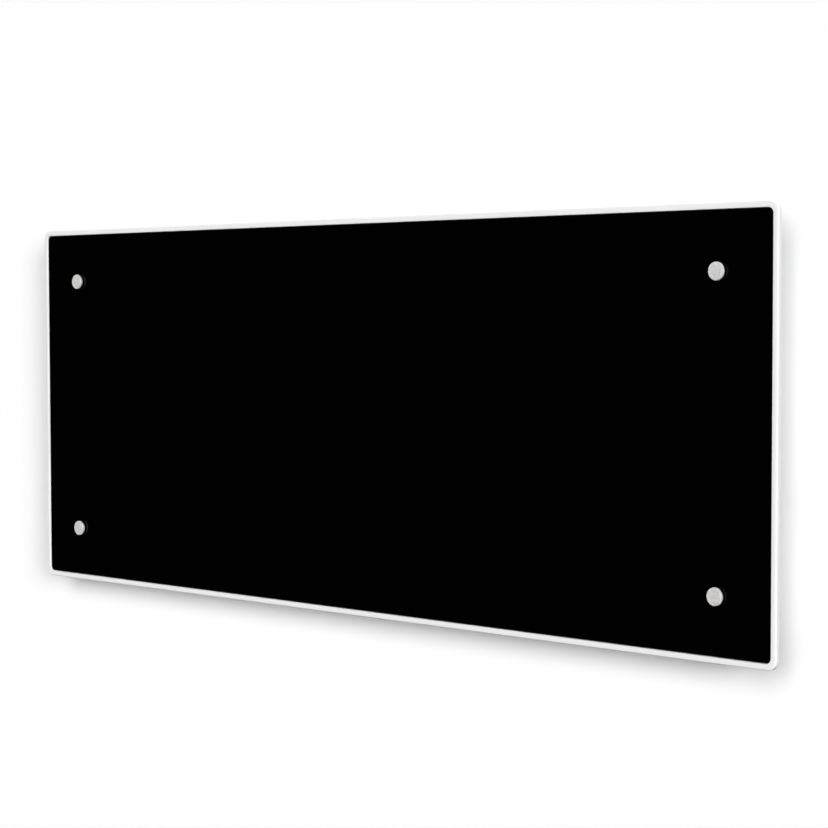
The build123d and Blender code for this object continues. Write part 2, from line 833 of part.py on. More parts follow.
def hook_outline(seat):
    """A hook seen from the side, in depth and height, with its nose turned up."""
    nose_back = hanger_front + hook_gap * 2
    nose_front = nose_back + hook_nose_t
    root = channel_depth / 2
    outline = Polyline(
        (-root, seat - hook_web_h),
        (-channel_depth, seat - hook_web_h),
        (-channel_depth, seat - hook_drop),
        (-nose_front + hook_nose_t, seat - hook_drop),
        (-nose_front, seat - hook_drop + hook_nose_t),
        (-nose_front, seat + hook_nose - hook_nose_t / 2),
        (-nose_front + hook_nose_t / 2, seat + hook_nose),
        (-nose_back, seat + hook_nose - hook_nose_t / 2),
        (-nose_back, seat),
        (-root, seat),
        close=True,
    )
    return make_face(outline)


def make_wall_bracket():
    """One steel sheet: two channels with hooks on their flanges, joined by two lipped rails."""
    rail_z = bracket_hole_z / 2
    plate = Sketch()
    for side in (-1, 1):
        plate += Pos(side * channel_x, 0) * Rectangle(channel_w, channel_h)
        plate += Pos(0, side * rail_z) * Rectangle(bracket_hole_x, rail_h)
    bracket = extrude(wall_plane(0.0) * plate, bracket_t)
    lip_half_l = channel_x - channel_w / 2 - rail_lip
    inner_half_h = rail_z - rail_h / 2 - rail_lip
    for side in (-1, 1):
        for edge in (-1, 1):
            lip_z = side * rail_z + edge * (rail_h - bracket_t) / 2
            bracket += block(
                -lip_half_l, lip_half_l, 0.0, rail_lip, lip_z - bracket_t / 2, lip_z + bracket_t / 2
            )
            half_h = channel_h / 2 if edge == 1 else inner_half_h
            x = side * (channel_x + edge * blade_offset)
            bracket += block(x - bracket_t / 2, x + bracket_t / 2, 0.0, channel_depth, -half_h, half_h)
    for x in hook_blade_x:
        for seat in hook_seats:
            blade = extrude(Plane.YZ.offset(x) * hook_outline(seat), bracket_t / 2, both=True)
            bracket += blade
    for side in (-1, 1):
        for end in (-1, 1):
            bracket -= bar(wall_hole_r, 0.0, bracket_t, side * channel_x, end * rail_z)
    return bracket


# ---------------------------------------------------------------- cut-outs, terminals, gland


def make_cutout(x):
    """Round thermal cut-out: metal cap on the pan, moulded body, two side terminals."""
    cap = bar(cutout_cap_r, pan_back - cutout_cap_h, pan_back, x, cutout_z)
    body_back = pan_back - cutout_cap_h - cutout_body_h
    body = bar(cutout_body_r, body_back, pan_back - cutout_cap_h, x, cutout_z)
    half_l = cutout_body_r + cutout_tab_l
    tabs = block(
        x - half_l,
        x + half_l,
        body_back + cutout_tab_t,
        body_back + 2 * cutout_tab_t,
        cutout_z - cutout_tab_w / 2,
        cutout_z + cutout_tab_w / 2,
    )
    return cap + body + tabs


def make_cutout_straps():
    """Straps over the cut-outs' caps, riveted to the pan."""
    straps = []
    for x in cutout_x:
        strap = sheet(strap_l, strap_w, pan_back - strap_t, pan_back, strap_w / 3, x, cutout_z)
        ring_back = pan_back - cutout_cap_h - strap_t
        strap += bar(cutout_cap_r + strap_t + thread_gap, ring_back, pan_back, x, cutout_z)
        strap -= bar(cutout_cap_r + thread_gap, pan_back - cutout_cap_h, pan_back, x, cutout_z)
        strap -= bar(cutout_body_r + thread_gap, ring_back, pan_back, x, cutout_z)
        for rivet_x in (x - strap_rivet_x, x + strap_rivet_x):
            strap -= bar(rivet_r / 2 + thread_gap, pan_back - strap_t, pan_back, rivet_x, cutout_z)
        straps.append(strap)
    return group(straps)


def strap_rivets():
    """Small rivets that hold the cut-outs' straps to the pan."""
    rivets = []
    for x in cutout_x:
        for side in (-1, 1):
            rivet_x = x + side * strap_rivet_x
            head_back = pan_back - strap_t - rivet_head_h / 2
            head = bar(rivet_r, head_back, pan_back - strap_t, rivet_x, cutout_z)
            rivets.append(head + bar(rivet_r / 2, pan_back - strap_t, pan_floor, rivet_x, cutout_z))
    return rivets


def terminal_xs():
    """The three ways of the terminal block."""
    return [block_x + way * block_pitch for way in (-1, 0, 1)]


def make_terminal_block():
    """Ceramic terminal block with a barrier between its ways."""
    back = pan_back - block_t
    body = sheet(block_w, block_h, back, pan_back, block_corner_r, block_x, block_z)
    for x in terminal_xs():
        body -= bar(block_screw_r + thread_gap, back, back + block_t / 2, x, block_z)
        lead_way = lead_r + lead_gap
        tunnel = post(lead_way, block_z + block_h / 4, block_z + block_h / 2, x, lead_depth)
        body -= tunnel
    for x in (block_x - block_pitch / 2, block_x + block_pitch / 2):
        body -= sheet(block_barrier_gap, block_h, back, back + block_t / 3, 0.0, x, block_z)
    return body


def make_terminal_screws():
    """Clamp screws of the terminal block."""
    seat = pan_back - block_t + block_t / 2
    back = seat - block_screw_t
    screws = []
    for x in terminal_xs():
        screw = bar(block_screw_r, back, seat, x, block_z)
        slot = sheet(2 * block_screw_r, driver_slot, back, back + driver_slot, 0.0, x, block_z)
        screws.append(screw - slot)
    return group(screws)


def make_earth_stud():
    """Earth stud on the pan with its nut over the tag."""
    tag_back = pan_back - earth_tag_t
    stud = bar(earth_stud_r, pan_back - earth_stud_l, pan_floor, earth_x, earth_z)
    nut_outline = RegularPolygon(earth_nut_r, 6) - Circle(earth_stud_r)
    nut = extrude(wall_plane(tag_back - earth_nut_t, earth_x, earth_z) * nut_outline, earth_nut_t)
    return stud + nut


def make_earth_tag():
    """Ring tag under the nut, with a barrel for its lead."""
    tag_back = pan_back - earth_tag_t
    tag = sheet(earth_tag_w, earth_tag_l, tag_back, pan_back, 0.0, earth_x, earth_z + earth_tag_l / 2)
    tag += bar(earth_nut_r, tag_back, pan_back, earth_x, earth_z)
    return tag - bar(earth_stud_r + thread_gap, tag_back, pan_back, earth_x, earth_z)


def make_cable_gland():
    """Gland in the cover's underside: hexagon, domed clamp and a thread inside the cover."""
    low = -cover_top
    hexagon = extrude(
        Plane(origin=(gland_x, -wiring_depth, low - gland_head_h)) * RegularPolygon(gland_head_r, 6),
        gland_head_h,
    )
    dome = post(gland_dome_r, low - gland_head_h - gland_dome_h, low - gland_head_h, gland_x, wiring_depth)
    dome = fillet(dome.faces().sort_by(Axis.Z)[0].edges(), gland_dome_r / 4)
    thread = post(gland_thread_r, low, low + gland_inside, gland_x, wiring_depth)
    bore_low = low - gland_head_h - gland_dome_h
    bore = post(gland_bore_r, bore_low, low + gland_inside, gland_x, wiring_depth)
    return hexagon + dome + thread - bore


def make_gland_nut():
    """Locknut on the gland's thread, inside the cover."""
    low = -cover_top + cover_t
    outline = RegularPolygon(gland_nut_r, 6) - Circle(gland_thread_r + thread_gap)
    return extrude(Plane(origin=(gland_x, -wiring_depth, low)) * outline, gland_nut_h)


# ---------------------------------------------------------------- rocker switch


def side_plane(x):
    """The plane at an x, facing +X, with depth along its first axis and height along its second."""
    return Plane(origin=(x, -wiring_depth, switch_z), x_dir=(0, 1, 0), z_dir=(1, 0, 0))


def make_switch_body():
    """Snap-in switch body: bezel, deep box with a well for the rocker, and two blades."""
    well_h = rocker_r + rocker_gap
    well_w = switch_body_w - 2 * switch_wall
    body = extrude(side_plane(switch_back) * Rectangle(switch_body_w, switch_body_h), switch_body_l)
    rim = RectangleRounded(switch_bezel_w, switch_bezel_h, switch_bezel_r)
    bezel = extrude(side_plane(cover_right) * rim, switch_bezel_t)
    bezel = chamfer(bezel.faces().sort_by(Axis.X)[-1].outer_wire().edges(), switch_bezel_edge)
    body += bezel
    floor_x = cover_right - switch_body_l / 2
    well = extrude(side_plane(floor_x) * Rectangle(well_w, 2 * well_h), switch_body_l)
    body -= well
    pivot = Plane(origin=(cover_right, -wiring_depth, switch_z), z_dir=(0, 1, 0))
    body -= extrude(pivot * Circle(pivot_r + pivot_gap), switch_body_w / 2, both=True)
    for side in (-1, 1):
        z = side * blade_pitch / 2
        blade = extrude(side_plane(blade_tip) * (Pos(0, z) * Rectangle(blade_w, blade_t)), blade_l)
        body += blade
    return body


def make_switch_rocker():
    """Rocker with two sloping faces and round ends, lying in its off position."""
    half_w = switch_body_w / 2 - switch_wall - rocker_gap
    slope = math.tan(math.radians(rocker_tilt))
    reach = rocker_r
    paddle = make_face(
        Polyline(
            (-rocker_keel, -rocker_keel_h),
            (rocker_dip + slope * reach, -reach),
            (rocker_dip, 0.0),
            (rocker_dip + slope * reach, reach),
            (-rocker_keel, rocker_keel_h),
            close=True,
        )
    )
    paddle = paddle & Circle(rocker_r)
    across = Plane(origin=(cover_right, -wiring_depth, switch_z), x_dir=(1, 0, 0), z_dir=(0, -1, 0))
    rocker = extrude(across * paddle, half_w, both=True)
    rocker += extrude(across * Circle(pivot_r), switch_body_w / 2, both=True)
    turn_axis = Axis((cover_right, -wiring_depth, switch_z), (0, 1, 0))
    return rocker.rotate(turn_axis, -rocker_tilt)


# ---------------------------------------------------------------- control unit


def pod_screw_spots():
    """Screws through the ears of the control housing."""
    return [(pod_x + side * ear_x, ear_z) for side in (-1, 1)]


def make_control_housing():
    """Moulded housing, open at the top, with two ears against the cover's flange."""
    housing = block(pod_x - pod_w / 2, pod_x + pod_w / 2, pod_back, pod_front, pod_bottom, pod_top)
    housing = fillet(housing.edges().filter_by(Axis.Z), pod_corner_r)
    half = pod_w / 2 - pod_wall
    inside_back = pod_back + pod_wall
    inside_front = pod_front - pod_wall
    housing -= block(pod_x - half, pod_x + half, inside_back, inside_front, pod_bottom + pod_wall, pod_top)
    for side in (-1, 1):
        end = pod_x + side * half
        inner = end - side * board_ledge
        low_x, high_x = min(end, inner), max(end, inner)
        for top in (button_board_top - board_t, control_board_low):
            housing += block(low_x, high_x, inside_back, inside_front, top - board_ledge, top)
    ear_low = ear_z - ear_h / 2
    for side in (-1, 1):
        wall = pod_x + side * half
        end = pod_x + side * (pod_w / 2 + ear_l)
        ear = block(min(wall, end), max(wall, end), pod_front - ear_t, pod_front, ear_low, ear_low + ear_h)
        outer = ear.faces().sort_by(Axis.X)[-1 if side > 0 else 0]
        housing += fillet(outer.edges().filter_by(Axis.Y), pod_corner_r)
    for x, z in pod_screw_spots():
        housing -= bar(cover_screw_r + cover_screw_gap, pod_front - ear_t, pod_front, x, z)
    for offset in pod_lead_x:
        housing -= post(lead_r + lead_gap, pod_bottom, pod_bottom + pod_wall, pod_x + offset, wiring_depth)
    return housing


def make_housing_screws():
    """Screws that hold the control housing to the flange behind the frame."""
    screws = []
    for x, z in pod_screw_spots():
        seat = pod_front - ear_t
        head = bar(cover_head_r, seat - cover_head_h, seat, x, z)
        head = chamfer(back_edges(head), cover_head_h / 3)
        screws.append(head + bar(cover_screw_r, seat, frame_back, x, z))
    return group(screws)


def make_control_fascia():
    """Fascia on top of the housing, with a skirt inside it, button holes and a window."""
    outline = Plane(origin=(pod_x, -pod_depth, pod_top)) * RectangleRounded(pod_w, pod_d, pod_corner_r)
    fascia = extrude(outline, fascia_t)
    fascia = fillet(fascia.faces().sort_by(Axis.Z)[-1].outer_wire().edges(), fascia_t / 4)
    skirt_l = pod_w - 2 * (pod_wall + fit_gap)
    skirt_d = pod_d - 2 * (pod_wall + fit_gap)
    hollow = Rectangle(skirt_l - 2 * fascia_skirt_t, skirt_d - 2 * fascia_skirt_t)
    under = Plane(origin=(pod_x, -pod_depth, pod_top - fascia_skirt_h))
    fascia += extrude(under * (Rectangle(skirt_l, skirt_d) - hollow), fascia_skirt_h)
    for offset in button_x.values():
        fascia -= post(button_r + button_gap, pod_top, pod_top + fascia_t, pod_x + offset, pod_depth)
    window_low = pod_top + fascia_t - window_t
    seat = Plane(origin=(pod_x + window_x, -pod_depth, window_low))
    pocket = RectangleRounded(window_l + 2 * fit_gap, window_w + 2 * fit_gap, window_corner_r)
    fascia -= extrude(seat * pocket, window_t)
    through = Plane(origin=(pod_x + window_x, -pod_depth, pod_top))
    opening = Rectangle(window_l - 2 * window_ledge, window_w - 2 * window_ledge)
    fascia -= extrude(through * opening, fascia_t)
    return fascia


def make_display_window():
    """Smoked window, flush with the fascia."""
    low = pod_top + fascia_t - window_t
    seat = Plane(origin=(pod_x + window_x, -pod_depth, low))
    return extrude(seat * RectangleRounded(window_l, window_w, window_corner_r), window_t)


def make_button(offset):
    """Round push button with a flange under the fascia and a stem over its switch."""
    x = pod_x + offset
    top = pod_top + fascia_t + button_proud
    button = post(button_r, button_flange_top, top, x, pod_depth)
    button = fillet(button.faces().sort_by(Axis.Z)[-1].edges(), button_proud / 2)
    button += post(button_flange_r, button_flange_top - button_flange_t, button_flange_top, x, pod_depth)
    stem_low = tact_top + button_travel + button_gap / 2
    return button + post(button_stem_r, stem_low, button_flange_top - button_flange_t, x, pod_depth)


def box_in_pod(offset, low, size):
    """A box in the control unit: place along it, underside, then length, width and height."""
    length, width, height = size
    return Pos(pod_x + offset, -pod_depth, low + height / 2) * Box(length, width, height)


def make_tact_switches():
    """Small push switches under the three buttons."""
    switches = []
    plunger_low = button_board_top + tact_h
    for offset in button_x.values():
        base = box_in_pod(offset, button_board_top, (tact_w, tact_w, tact_h))
        switches.append(base + post(tact_plunger_r, plunger_low, tact_top, pod_x + offset, pod_depth))
    return group(switches)


def make_board(low):
    """Circuit board resting on the housing's end ledges."""
    return box_in_pod(0.0, low, (board_l, board_w, board_t))


def make_display_module():
    """Two-digit display under the window."""
    length = window_l - 2 * display_margin
    width = window_w - 2 * display_margin
    height = pod_top - display_gap - button_board_top
    return box_in_pod(window_x, button_board_top, (length, width, height))


def make_transformer():
    """Small mains transformer, potted in a case with rounded corners."""
    case = box_in_pod(transformer_x, control_board_top, transformer_size)
    return fillet(case.edges().filter_by(Axis.Z), component_edge)


def make_relay():
    """Load relay in a sealed case."""
    relay = box_in_pod(relay_x, control_board_top, relay_size)
    return chamfer(relay.faces().sort_by(Axis.Z)[-1].edges(), component_edge)


def make_capacitor():
    """Smoothing capacitor, standing."""
    top = control_board_top + capacitor_h
    can = post(capacitor_r, control_board_top, top, pod_x + capacitor_x, pod_depth)
    return fillet(can.faces().sort_by(Axis.Z)[-1].edges(), component_edge)


def make_wireless_module():
    """Wireless module: a small board with a screening can."""
    base = box_in_pod(wireless_x, control_board_top, wireless_size)
    return base + box_in_pod(screen_x, control_board_top + wireless_size[2], screen_size)


# ---------------------------------------------------------------- sensor, leads and clips


def make_room_sensor():
    """Sensor nipple through the cover's underside."""
    low = -cover_top
    body = post(sensor_r, low - sensor_out, low + cover_t + sensor_in, sensor_x, wiring_depth)
    body = fillet(body.faces().sort_by(Axis.Z)[0].edges(), sensor_tip_r)
    return body + post(sensor_collar_r, low - sensor_collar_t, low, sensor_x, wiring_depth)


def lead(points, radius=lead_r, bend=lead_bend_r):
    """An insulated lead along straight runs joined by arcs; its points are x, depth, z."""
    route = [(x, -depth, z) for x, depth, z in points]
    path = Line(*route) if len(route) == 2 else FilletPolyline(*route, radius=bend)
    start = Plane(origin=path @ 0, z_dir=path % 0)
    return sweep(start * Circle(radius), path=path)


def make_supply_leads():
    """Live lead from the terminal block to the switch, and on to the control board."""
    low_blade = switch_z - blade_pitch / 2
    high_blade = switch_z + blade_pitch / 2
    live_x = terminal_xs()[2]
    end_x = blade_tip - lead_gap
    to_switch = lead(
        [
            (live_x, lead_depth, block_top),
            (live_x, lead_depth, low_blade - lead_slope),
            (live_x + lead_bend_r, wiring_depth, low_blade),
            (end_x, wiring_depth, low_blade),
        ]
    )
    lane_x = end_x - lead_start
    board_x = pod_x + pod_lead_x[2]
    to_board = lead(
        [
            (end_x, wiring_depth, high_blade),
            (lane_x, wiring_depth, high_blade),
            (lane_x, lead_depth, high_blade + lead_slope),
            (lane_x, lead_depth, pod_entry - lead_slope),
            (board_x, wiring_depth, pod_entry),
            (board_x, wiring_depth, board_under),
        ]
    )
    return group([to_switch, to_board])


def make_element_leads():
    """Leads from the control board through both cut-outs to the track, and back to the block."""
    feed = lead(
        [
            (feed_x, wiring_depth, board_under),
            (feed_x, wiring_depth, pod_entry),
            (feed_x, lead_depth, pod_entry - lead_slope),
            (feed_x, lead_depth, feed_z),
            (feed_run_start, lead_depth, feed_z),
            (cutout_x[0] + tab_reach + lead_start, tab_depth, feed_z),
            (cutout_x[0] + tab_reach, tab_depth, feed_z),
        ]
    )
    link = lead(
        [
            (cutout_x[0] - tab_reach, tab_depth, feed_z),
            (cutout_x[1] + tab_reach, tab_depth, feed_z),
        ]
    )
    tag_lane = tag_end + 2 * lead_r
    tag_touch = track_half_h - tag_t / 2 - lead_gap
    tail = lead(
        [
            (cutout_x[1] - tab_reach, tab_depth, feed_z),
            (cutout_x[1] - tab_reach - lead_start, tab_depth, feed_z),
            (tail_run_start, lead_depth, feed_z),
            (tag_x, lead_depth, feed_z),
            (tag_x, tag_lane, feed_z + lead_slope),
            (tag_x, tag_lane, tag_touch),
        ]
    )
    neutral_x = terminal_xs()[1]
    back = lead(
        [
            (tag_x, tag_lane, -tag_touch),
            (tag_x, tag_lane, return_z - lead_slope),
            (tag_x, lead_depth, return_z),
            (neutral_x, lead_depth, return_z),
            (neutral_x, lead_depth, block_top),
        ]
    )
    return group([feed, link, tail, back])


def make_earth_lead():
    """Earth lead from the terminal block to the tag on the pan."""
    earth_way = terminal_xs()[0]
    loop_z = block_z + block_h / 2 + earth_loop
    return lead(
        [
            (earth_way, lead_depth, block_top),
            (earth_way, lead_depth, loop_z),
            (earth_x, lead_depth, loop_z),
            (earth_x, lead_depth, earth_z + earth_tag_l + lead_gap),
        ],
        bend=earth_bend_r,
    )


def make_sensor_lead():
    """Thin lead from the room sensor to the control board, over the other leads."""
    over = lead_depth - lead_r - sensor_lead_r - 2 * lead_gap
    low = -cover_top
    board_x = pod_x + pod_lead_x[1]
    return lead(
        [
            (sensor_x, wiring_depth, low + cover_t + sensor_in + lead_gap),
            (sensor_x, wiring_depth, low + lead_start),
            (sensor_x, over, low + lead_start + lead_slope),
            (sensor_x, over, pod_entry - lead_slope),
            (board_x, wiring_depth, pod_entry),
            (board_x, wiring_depth, board_under),
        ],
        radius=sensor_lead_r,
    )


def clip_spots():
    """Clips spread evenly along each level run."""
    runs = [
        (feed_run_start, feed_x, feed_z),
        (tag_x, tail_run_start, feed_z),
        (tag_x, terminal_xs()[1], return_z),
    ]
    spots = []
    for start, end, z in runs:
        count = max(1, int((end - start) / clip_pitch))
        step = (end - start) / count
        spots += [(start + (i + 0.5) * step, z) for i in range(count)]
    return spots


def make_lead_clips():
    """Saddle clips on the pan that hold the level runs."""
    clips = []
    tunnel_r = lead_r + lead_gap
    half_h = tunnel_r + clip_wall
    for x, z in clip_spots():
        clip = sheet(clip_w, 2 * half_h, lead_depth - half_h, pan_back, 0.0, x, z)
        clip = fillet(clip.faces().sort_by(Axis.Y)[-1].edges().filter_by(Axis.X), clip_wall)
        tunnel_plane = Plane(origin=(x, -lead_depth, z), z_dir=(1, 0, 0))
        tunnel = extrude(tunnel_plane * Circle(tunnel_r), clip_w, both=True)
        tunnel += block(x - clip_w, x + clip_w, lead_depth, pan_back, z - tunnel_r, z + tunnel_r)
        clips.append(clip - tunnel)
    return group(clips)


# ---------------------------------------------------------------- the nodes


def make_nodes():
    """Every piece of the heater, by its node's name."""
    nodes = {
        "front_frame": make_front_frame(),
        "glass_panel": make_glass_panel(),
        "glass_seal": make_glass_seal(),
        "cap_studs": make_cap_studs(),
        "cap_washers": make_cap_washers(),
        "glass_bushes": make_glass_bushes(),
        "pillar_washers": make_pillar_washers(),
        "glass_pillars": make_glass_pillars(),
        "pillar_screws": make_pillar_screws(),
        "front_film": make_front_film(),
        "heating_element": make_heating_element(),
        "rear_film": make_rear_film(),
        "heat_reflector": make_heat_reflector(),
        "insulation_blanket": make_insulation_blanket(),
        "element_tags": make_element_tags(),
        "tag_bushes": make_tag_bushes(),
        "chassis_pan": make_chassis_pan(),
        "rear_cover": make_rear_cover(),
        "hanger_plate_left": make_hanger_plate(-1),
        "hanger_plate_right": make_hanger_plate(1),
        "rivets": make_rivets(),
        "cover_screws": make_cover_screws(),
        "wall_bumpers": make_wall_bumpers(),
        "wall_bracket": make_wall_bracket(),
        "thermal_cutout": make_cutout(cutout_x[0]),
        "safety_cutout": make_cutout(cutout_x[1]),
        "cutout_straps": make_cutout_straps(),
        "terminal_block": make_terminal_block(),
        "terminal_screws": make_terminal_screws(),
        "earth_stud": make_earth_stud(),
        "earth_tag": make_earth_tag(),
        "cable_gland": make_cable_gland(),
        "gland_nut": make_gland_nut(),
        "switch_body": make_switch_body(),
        "switch_rocker": make_switch_rocker(),
        "control_housing": make_control_housing(),
        "housing_screws": make_housing_screws(),
        "control_fascia": make_control_fascia(),
        "display_window": make_display_window(),
        "tact_switches": make_tact_switches(),
        "button_board": make_board(button_board_top - board_t),
        "display_module": make_display_module(),
        "control_board": make_board(control_board_low),
        "transformer": make_transformer(),
        "load_relay": make_relay(),
        "capacitor": make_capacitor(),
        "wireless_module": make_wireless_module(),
        "room_sensor": make_room_sensor(),
        "supply_leads": make_supply_leads(),
        "element_leads": make_element_leads(),
        "earth_lead": make_earth_lead(),
        "sensor_lead": make_sensor_lead(),
        "lead_clips": make_lead_clips(),
    }
    for name, (x, z) in cap_spots.items():
        nodes[f"cap_{name}"] = make_cap(x, z)
    for name, offset in button_x.items():
        nodes[f"button_{name}"] = make_button(offset)
    return nodes


def main():
    """Write one STEP file for each node."""
    os.makedirs("parts", exist_ok=True)
    for name, shape in make_nodes().items():
        export_step(shape, f"parts/{name}.step")
        print(name)


main()
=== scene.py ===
# %% [markdown]
# # An infrared panel heater, dressed in Blender
#
# The heater is a sheet of black glass in a thin white frame, held near its corners by four round
# metal caps. Behind it a white steel cover holds the wiring, and the whole thing hangs by hooks on
# a bracket on the wall. The construction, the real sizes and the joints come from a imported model,
# which is loaded here as a fixed frame. This lesson gives each piece its finish, and models again
# the pieces whose shape is seen from close by. Everything is in metres: +X is to the right seen
# from the room, +Z is up and +Y points into the wall.

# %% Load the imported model
import json
import math

import bmesh
import bpy
from mathutils import Matrix, Vector


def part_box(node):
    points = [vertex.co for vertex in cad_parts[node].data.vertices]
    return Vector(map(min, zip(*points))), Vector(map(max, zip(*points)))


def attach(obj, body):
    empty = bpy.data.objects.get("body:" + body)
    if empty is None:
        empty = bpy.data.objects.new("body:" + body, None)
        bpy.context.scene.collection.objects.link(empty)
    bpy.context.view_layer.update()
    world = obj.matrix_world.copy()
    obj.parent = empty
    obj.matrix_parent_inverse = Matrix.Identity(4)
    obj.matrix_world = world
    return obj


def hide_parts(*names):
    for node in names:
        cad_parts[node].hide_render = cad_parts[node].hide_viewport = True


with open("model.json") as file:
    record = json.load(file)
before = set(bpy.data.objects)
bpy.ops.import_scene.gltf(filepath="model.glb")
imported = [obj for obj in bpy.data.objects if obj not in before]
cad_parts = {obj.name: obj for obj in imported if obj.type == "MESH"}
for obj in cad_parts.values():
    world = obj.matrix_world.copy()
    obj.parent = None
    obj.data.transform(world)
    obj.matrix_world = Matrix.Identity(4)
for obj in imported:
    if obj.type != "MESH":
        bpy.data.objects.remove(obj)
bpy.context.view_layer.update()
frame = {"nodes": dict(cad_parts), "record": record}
scene = bpy.context.scene
MM = 0.001

# %% [markdown]
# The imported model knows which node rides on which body, and which finish each node has. Two small
# dictionaries read that out once, so that no piece below has to repeat it.

# %% Who carries what
body_of_node = {
    node: body
    for body, members in frame["record"]["behaviour"]["bodies"].items()
    for node in members
}
slot_of_node = {part["node"]: part["material_slot"] for part in frame["record"]["subparts"]}
print("finishes:", ", ".join(sorted(set(slot_of_node.values()))))

# %% [markdown]
# A photograph taken with a long lens keeps the panel's edges nearly parallel. The camera stands to
# the right of the panel, almost level with its middle, and looks 43 degrees to the left and a little
# down. It could be aimed at the heater by a Track To constraint, but a place and three plain angles
# can be fitted to a photograph. A turn about X tips a new camera up from the floor, and the turn about
# Z is its heading.

# %% The camera
camera_place = Vector((1.3978, -1.4699, 0.0992))
camera_heading = math.radians(42.99)
camera_tilt = math.radians(-2.757)
camera_roll = math.radians(-0.103)
camera_lens = 93.10
camera_sensor = 36.0

camera_data = bpy.data.cameras.new("camera")
camera_data.sensor_width = camera_sensor
camera_data.lens = camera_lens
camera = bpy.data.objects.new("camera", camera_data)
turn = Matrix.Rotation(camera_heading, 4, "Z") @ Matrix.Rotation(math.pi / 2 + camera_tilt, 4, "X")
camera.matrix_world = Matrix.Translation(camera_place) @ turn @ Matrix.Rotation(camera_roll, 4, "Z")
scene.collection.objects.link(camera)
scene.camera = camera
scene.view_settings.view_transform = "Standard"
print("the camera looks along", [round(x, 3) for x in camera.matrix_world.col[2][:3]])

# %% [markdown]
# ## The studio
#
# The heater hangs on a plain white wall, over a pale floor. Both need a material, which is a tree of
# nodes, and so do the world and every finish. In the editor a node is added, its fields are filled
# in and links are drawn to it. One helper does all three in code, so that a node is one line, which
# names what goes into it. A Math node is used so often that it gets a helper of its own.

# %% Adding a node


def add_node(tree, kind, inputs=None, **settings):
    """A new node, each of its inputs filled with a plain value or linked to another node's output."""
    node = tree.nodes.new(kind)
    for name, value in settings.items():
        setattr(node, name, value)
    for name, value in (inputs or {}).items():
        if isinstance(value, bpy.types.NodeSocket):
            tree.links.new(value, node.inputs[name])
        else:
            node.inputs[name].default_value = value
    return node


def calculated(tree, operation, *values):
    """The result of a Math node; its inputs are called by their numbers."""
    return add_node(tree, "ShaderNodeMath", dict(enumerate(values)), operation=operation).outputs[0]


print("helpers:", add_node.__name__, calculated.__name__)

# %% [markdown]
# The wall has to stay white and still take the soft shadow round the panel, so its shader adds a
# little glow to a plain diffuse white. More light would whiten it as well, but it would wash out the
# heater. A Light Path node tells which rays may see the glow: those of the picture, and those that
# metal and glass look along. The world will need the same share of rays.

# %% A white that glows a little
wall_glow = 0.035
wall_white = 0.96


def white_ray_share(tree):
    """One for the rays that the picture, metal and glass look along, and nothing for other rays."""
    path = add_node(tree, "ShaderNodeLightPath")
    seen = calculated(tree, "MAXIMUM", path.outputs["Is Camera Ray"], path.outputs["Is Glossy Ray"])
    return calculated(tree, "MAXIMUM", seen, path.outputs["Is Transmission Ray"])


def studio_white():
    """Diffuse white with a little glow, clear from behind."""
    material = bpy.data.materials.new("studio_white")
    material.use_nodes = True
    tree = material.node_tree
    tree.nodes.clear()
    diffuse = add_node(tree, "ShaderNodeBsdfDiffuse", {"Color": (wall_white, wall_white, wall_white, 1)})
    strength = calculated(tree, "MULTIPLY", white_ray_share(tree), wall_glow)
    glow = add_node(tree, "ShaderNodeEmission", {"Strength": strength})
    lit = add_node(tree, "ShaderNodeAddShader", {0: diffuse.outputs[0], 1: glow.outputs[0]})
    clear = add_node(tree, "ShaderNodeBsdfTransparent")
    behind = add_node(tree, "ShaderNodeNewGeometry").outputs["Backfacing"]
    mix = add_node(tree, "ShaderNodeMixShader", {"Fac": behind, 1: lit.outputs[0], 2: clear.outputs[0]})
    add_node(tree, "ShaderNodeOutputMaterial", {"Surface": mix.outputs[0]})
    return material


white = studio_white()
print(white.name, "has", len(white.node_tree.nodes), "nodes")

# %% [markdown]
# Wall and floor are two flat sheets of four corners each. The wall is one-sided: seen from behind it
# is clear, so the back of the heater can be looked at too. Neither sheet throws light back on the
# heater, as that would fill the shade.

# %% Wall and floor
wall_half_w = 4.0
wall_low = -0.75
wall_high = 3.0
floor_front = -1.5
floor_back = 4.0
wall_clearance = 0.2 * MM


def stage_sheet(name, near, far):
    """A flat white sheet between two level edges, each given by its y and z."""
    corners = [(-wall_half_w, *near), (wall_half_w, *near), (wall_half_w, *far), (-wall_half_w, *far)]
    mesh = bpy.data.meshes.new(name)
    mesh.from_pydata(corners, [], [range(len(corners))])
    mesh.materials.append(white)
    sheet = bpy.data.objects.new(name, mesh)
    scene.collection.objects.link(sheet)
    sheet.visible_diffuse = False
    return sheet


wall = stage_sheet("studio_wall", (wall_clearance, wall_low), (wall_clearance, wall_high))
wall.visible_shadow = False
wall.visible_glossy = False
stage_sheet("studio_floor", (floor_front, wall_low), (floor_back, wall_low))
print("wall and floor meet", -wall_low, "m under the bracket's middle")

# %% [markdown]
# Black glass mirrors whatever is in front of it. A photographer keeps it black with a flag, a sheet
# of black cloth outside the picture. Glass without any gloss would be black too, but dead under other
# light. The flag is a curved curtain in front of the heater, made of upright strips. It is hidden from
# every ray but the glossy ones, so it takes no light away and never shows by itself.

# %% The black flag
flag_radius = 4.6
flag_left = math.radians(-84)
flag_right = math.radians(62)
flag_low = -3.2
flag_high = 1.15
flag_steps = 24


def black_cloth():
    """Cloth so dark that it mirrors as black."""
    material = bpy.data.materials.new("black_cloth")
    material.use_nodes = True
    shader = material.node_tree.nodes["Principled BSDF"]
    shader.inputs["Base Color"].default_value = (0, 0, 0, 1)
    shader.inputs["Specular IOR Level"].default_value = 0.0
    shader.inputs["Roughness"].default_value = 1.0
    return material


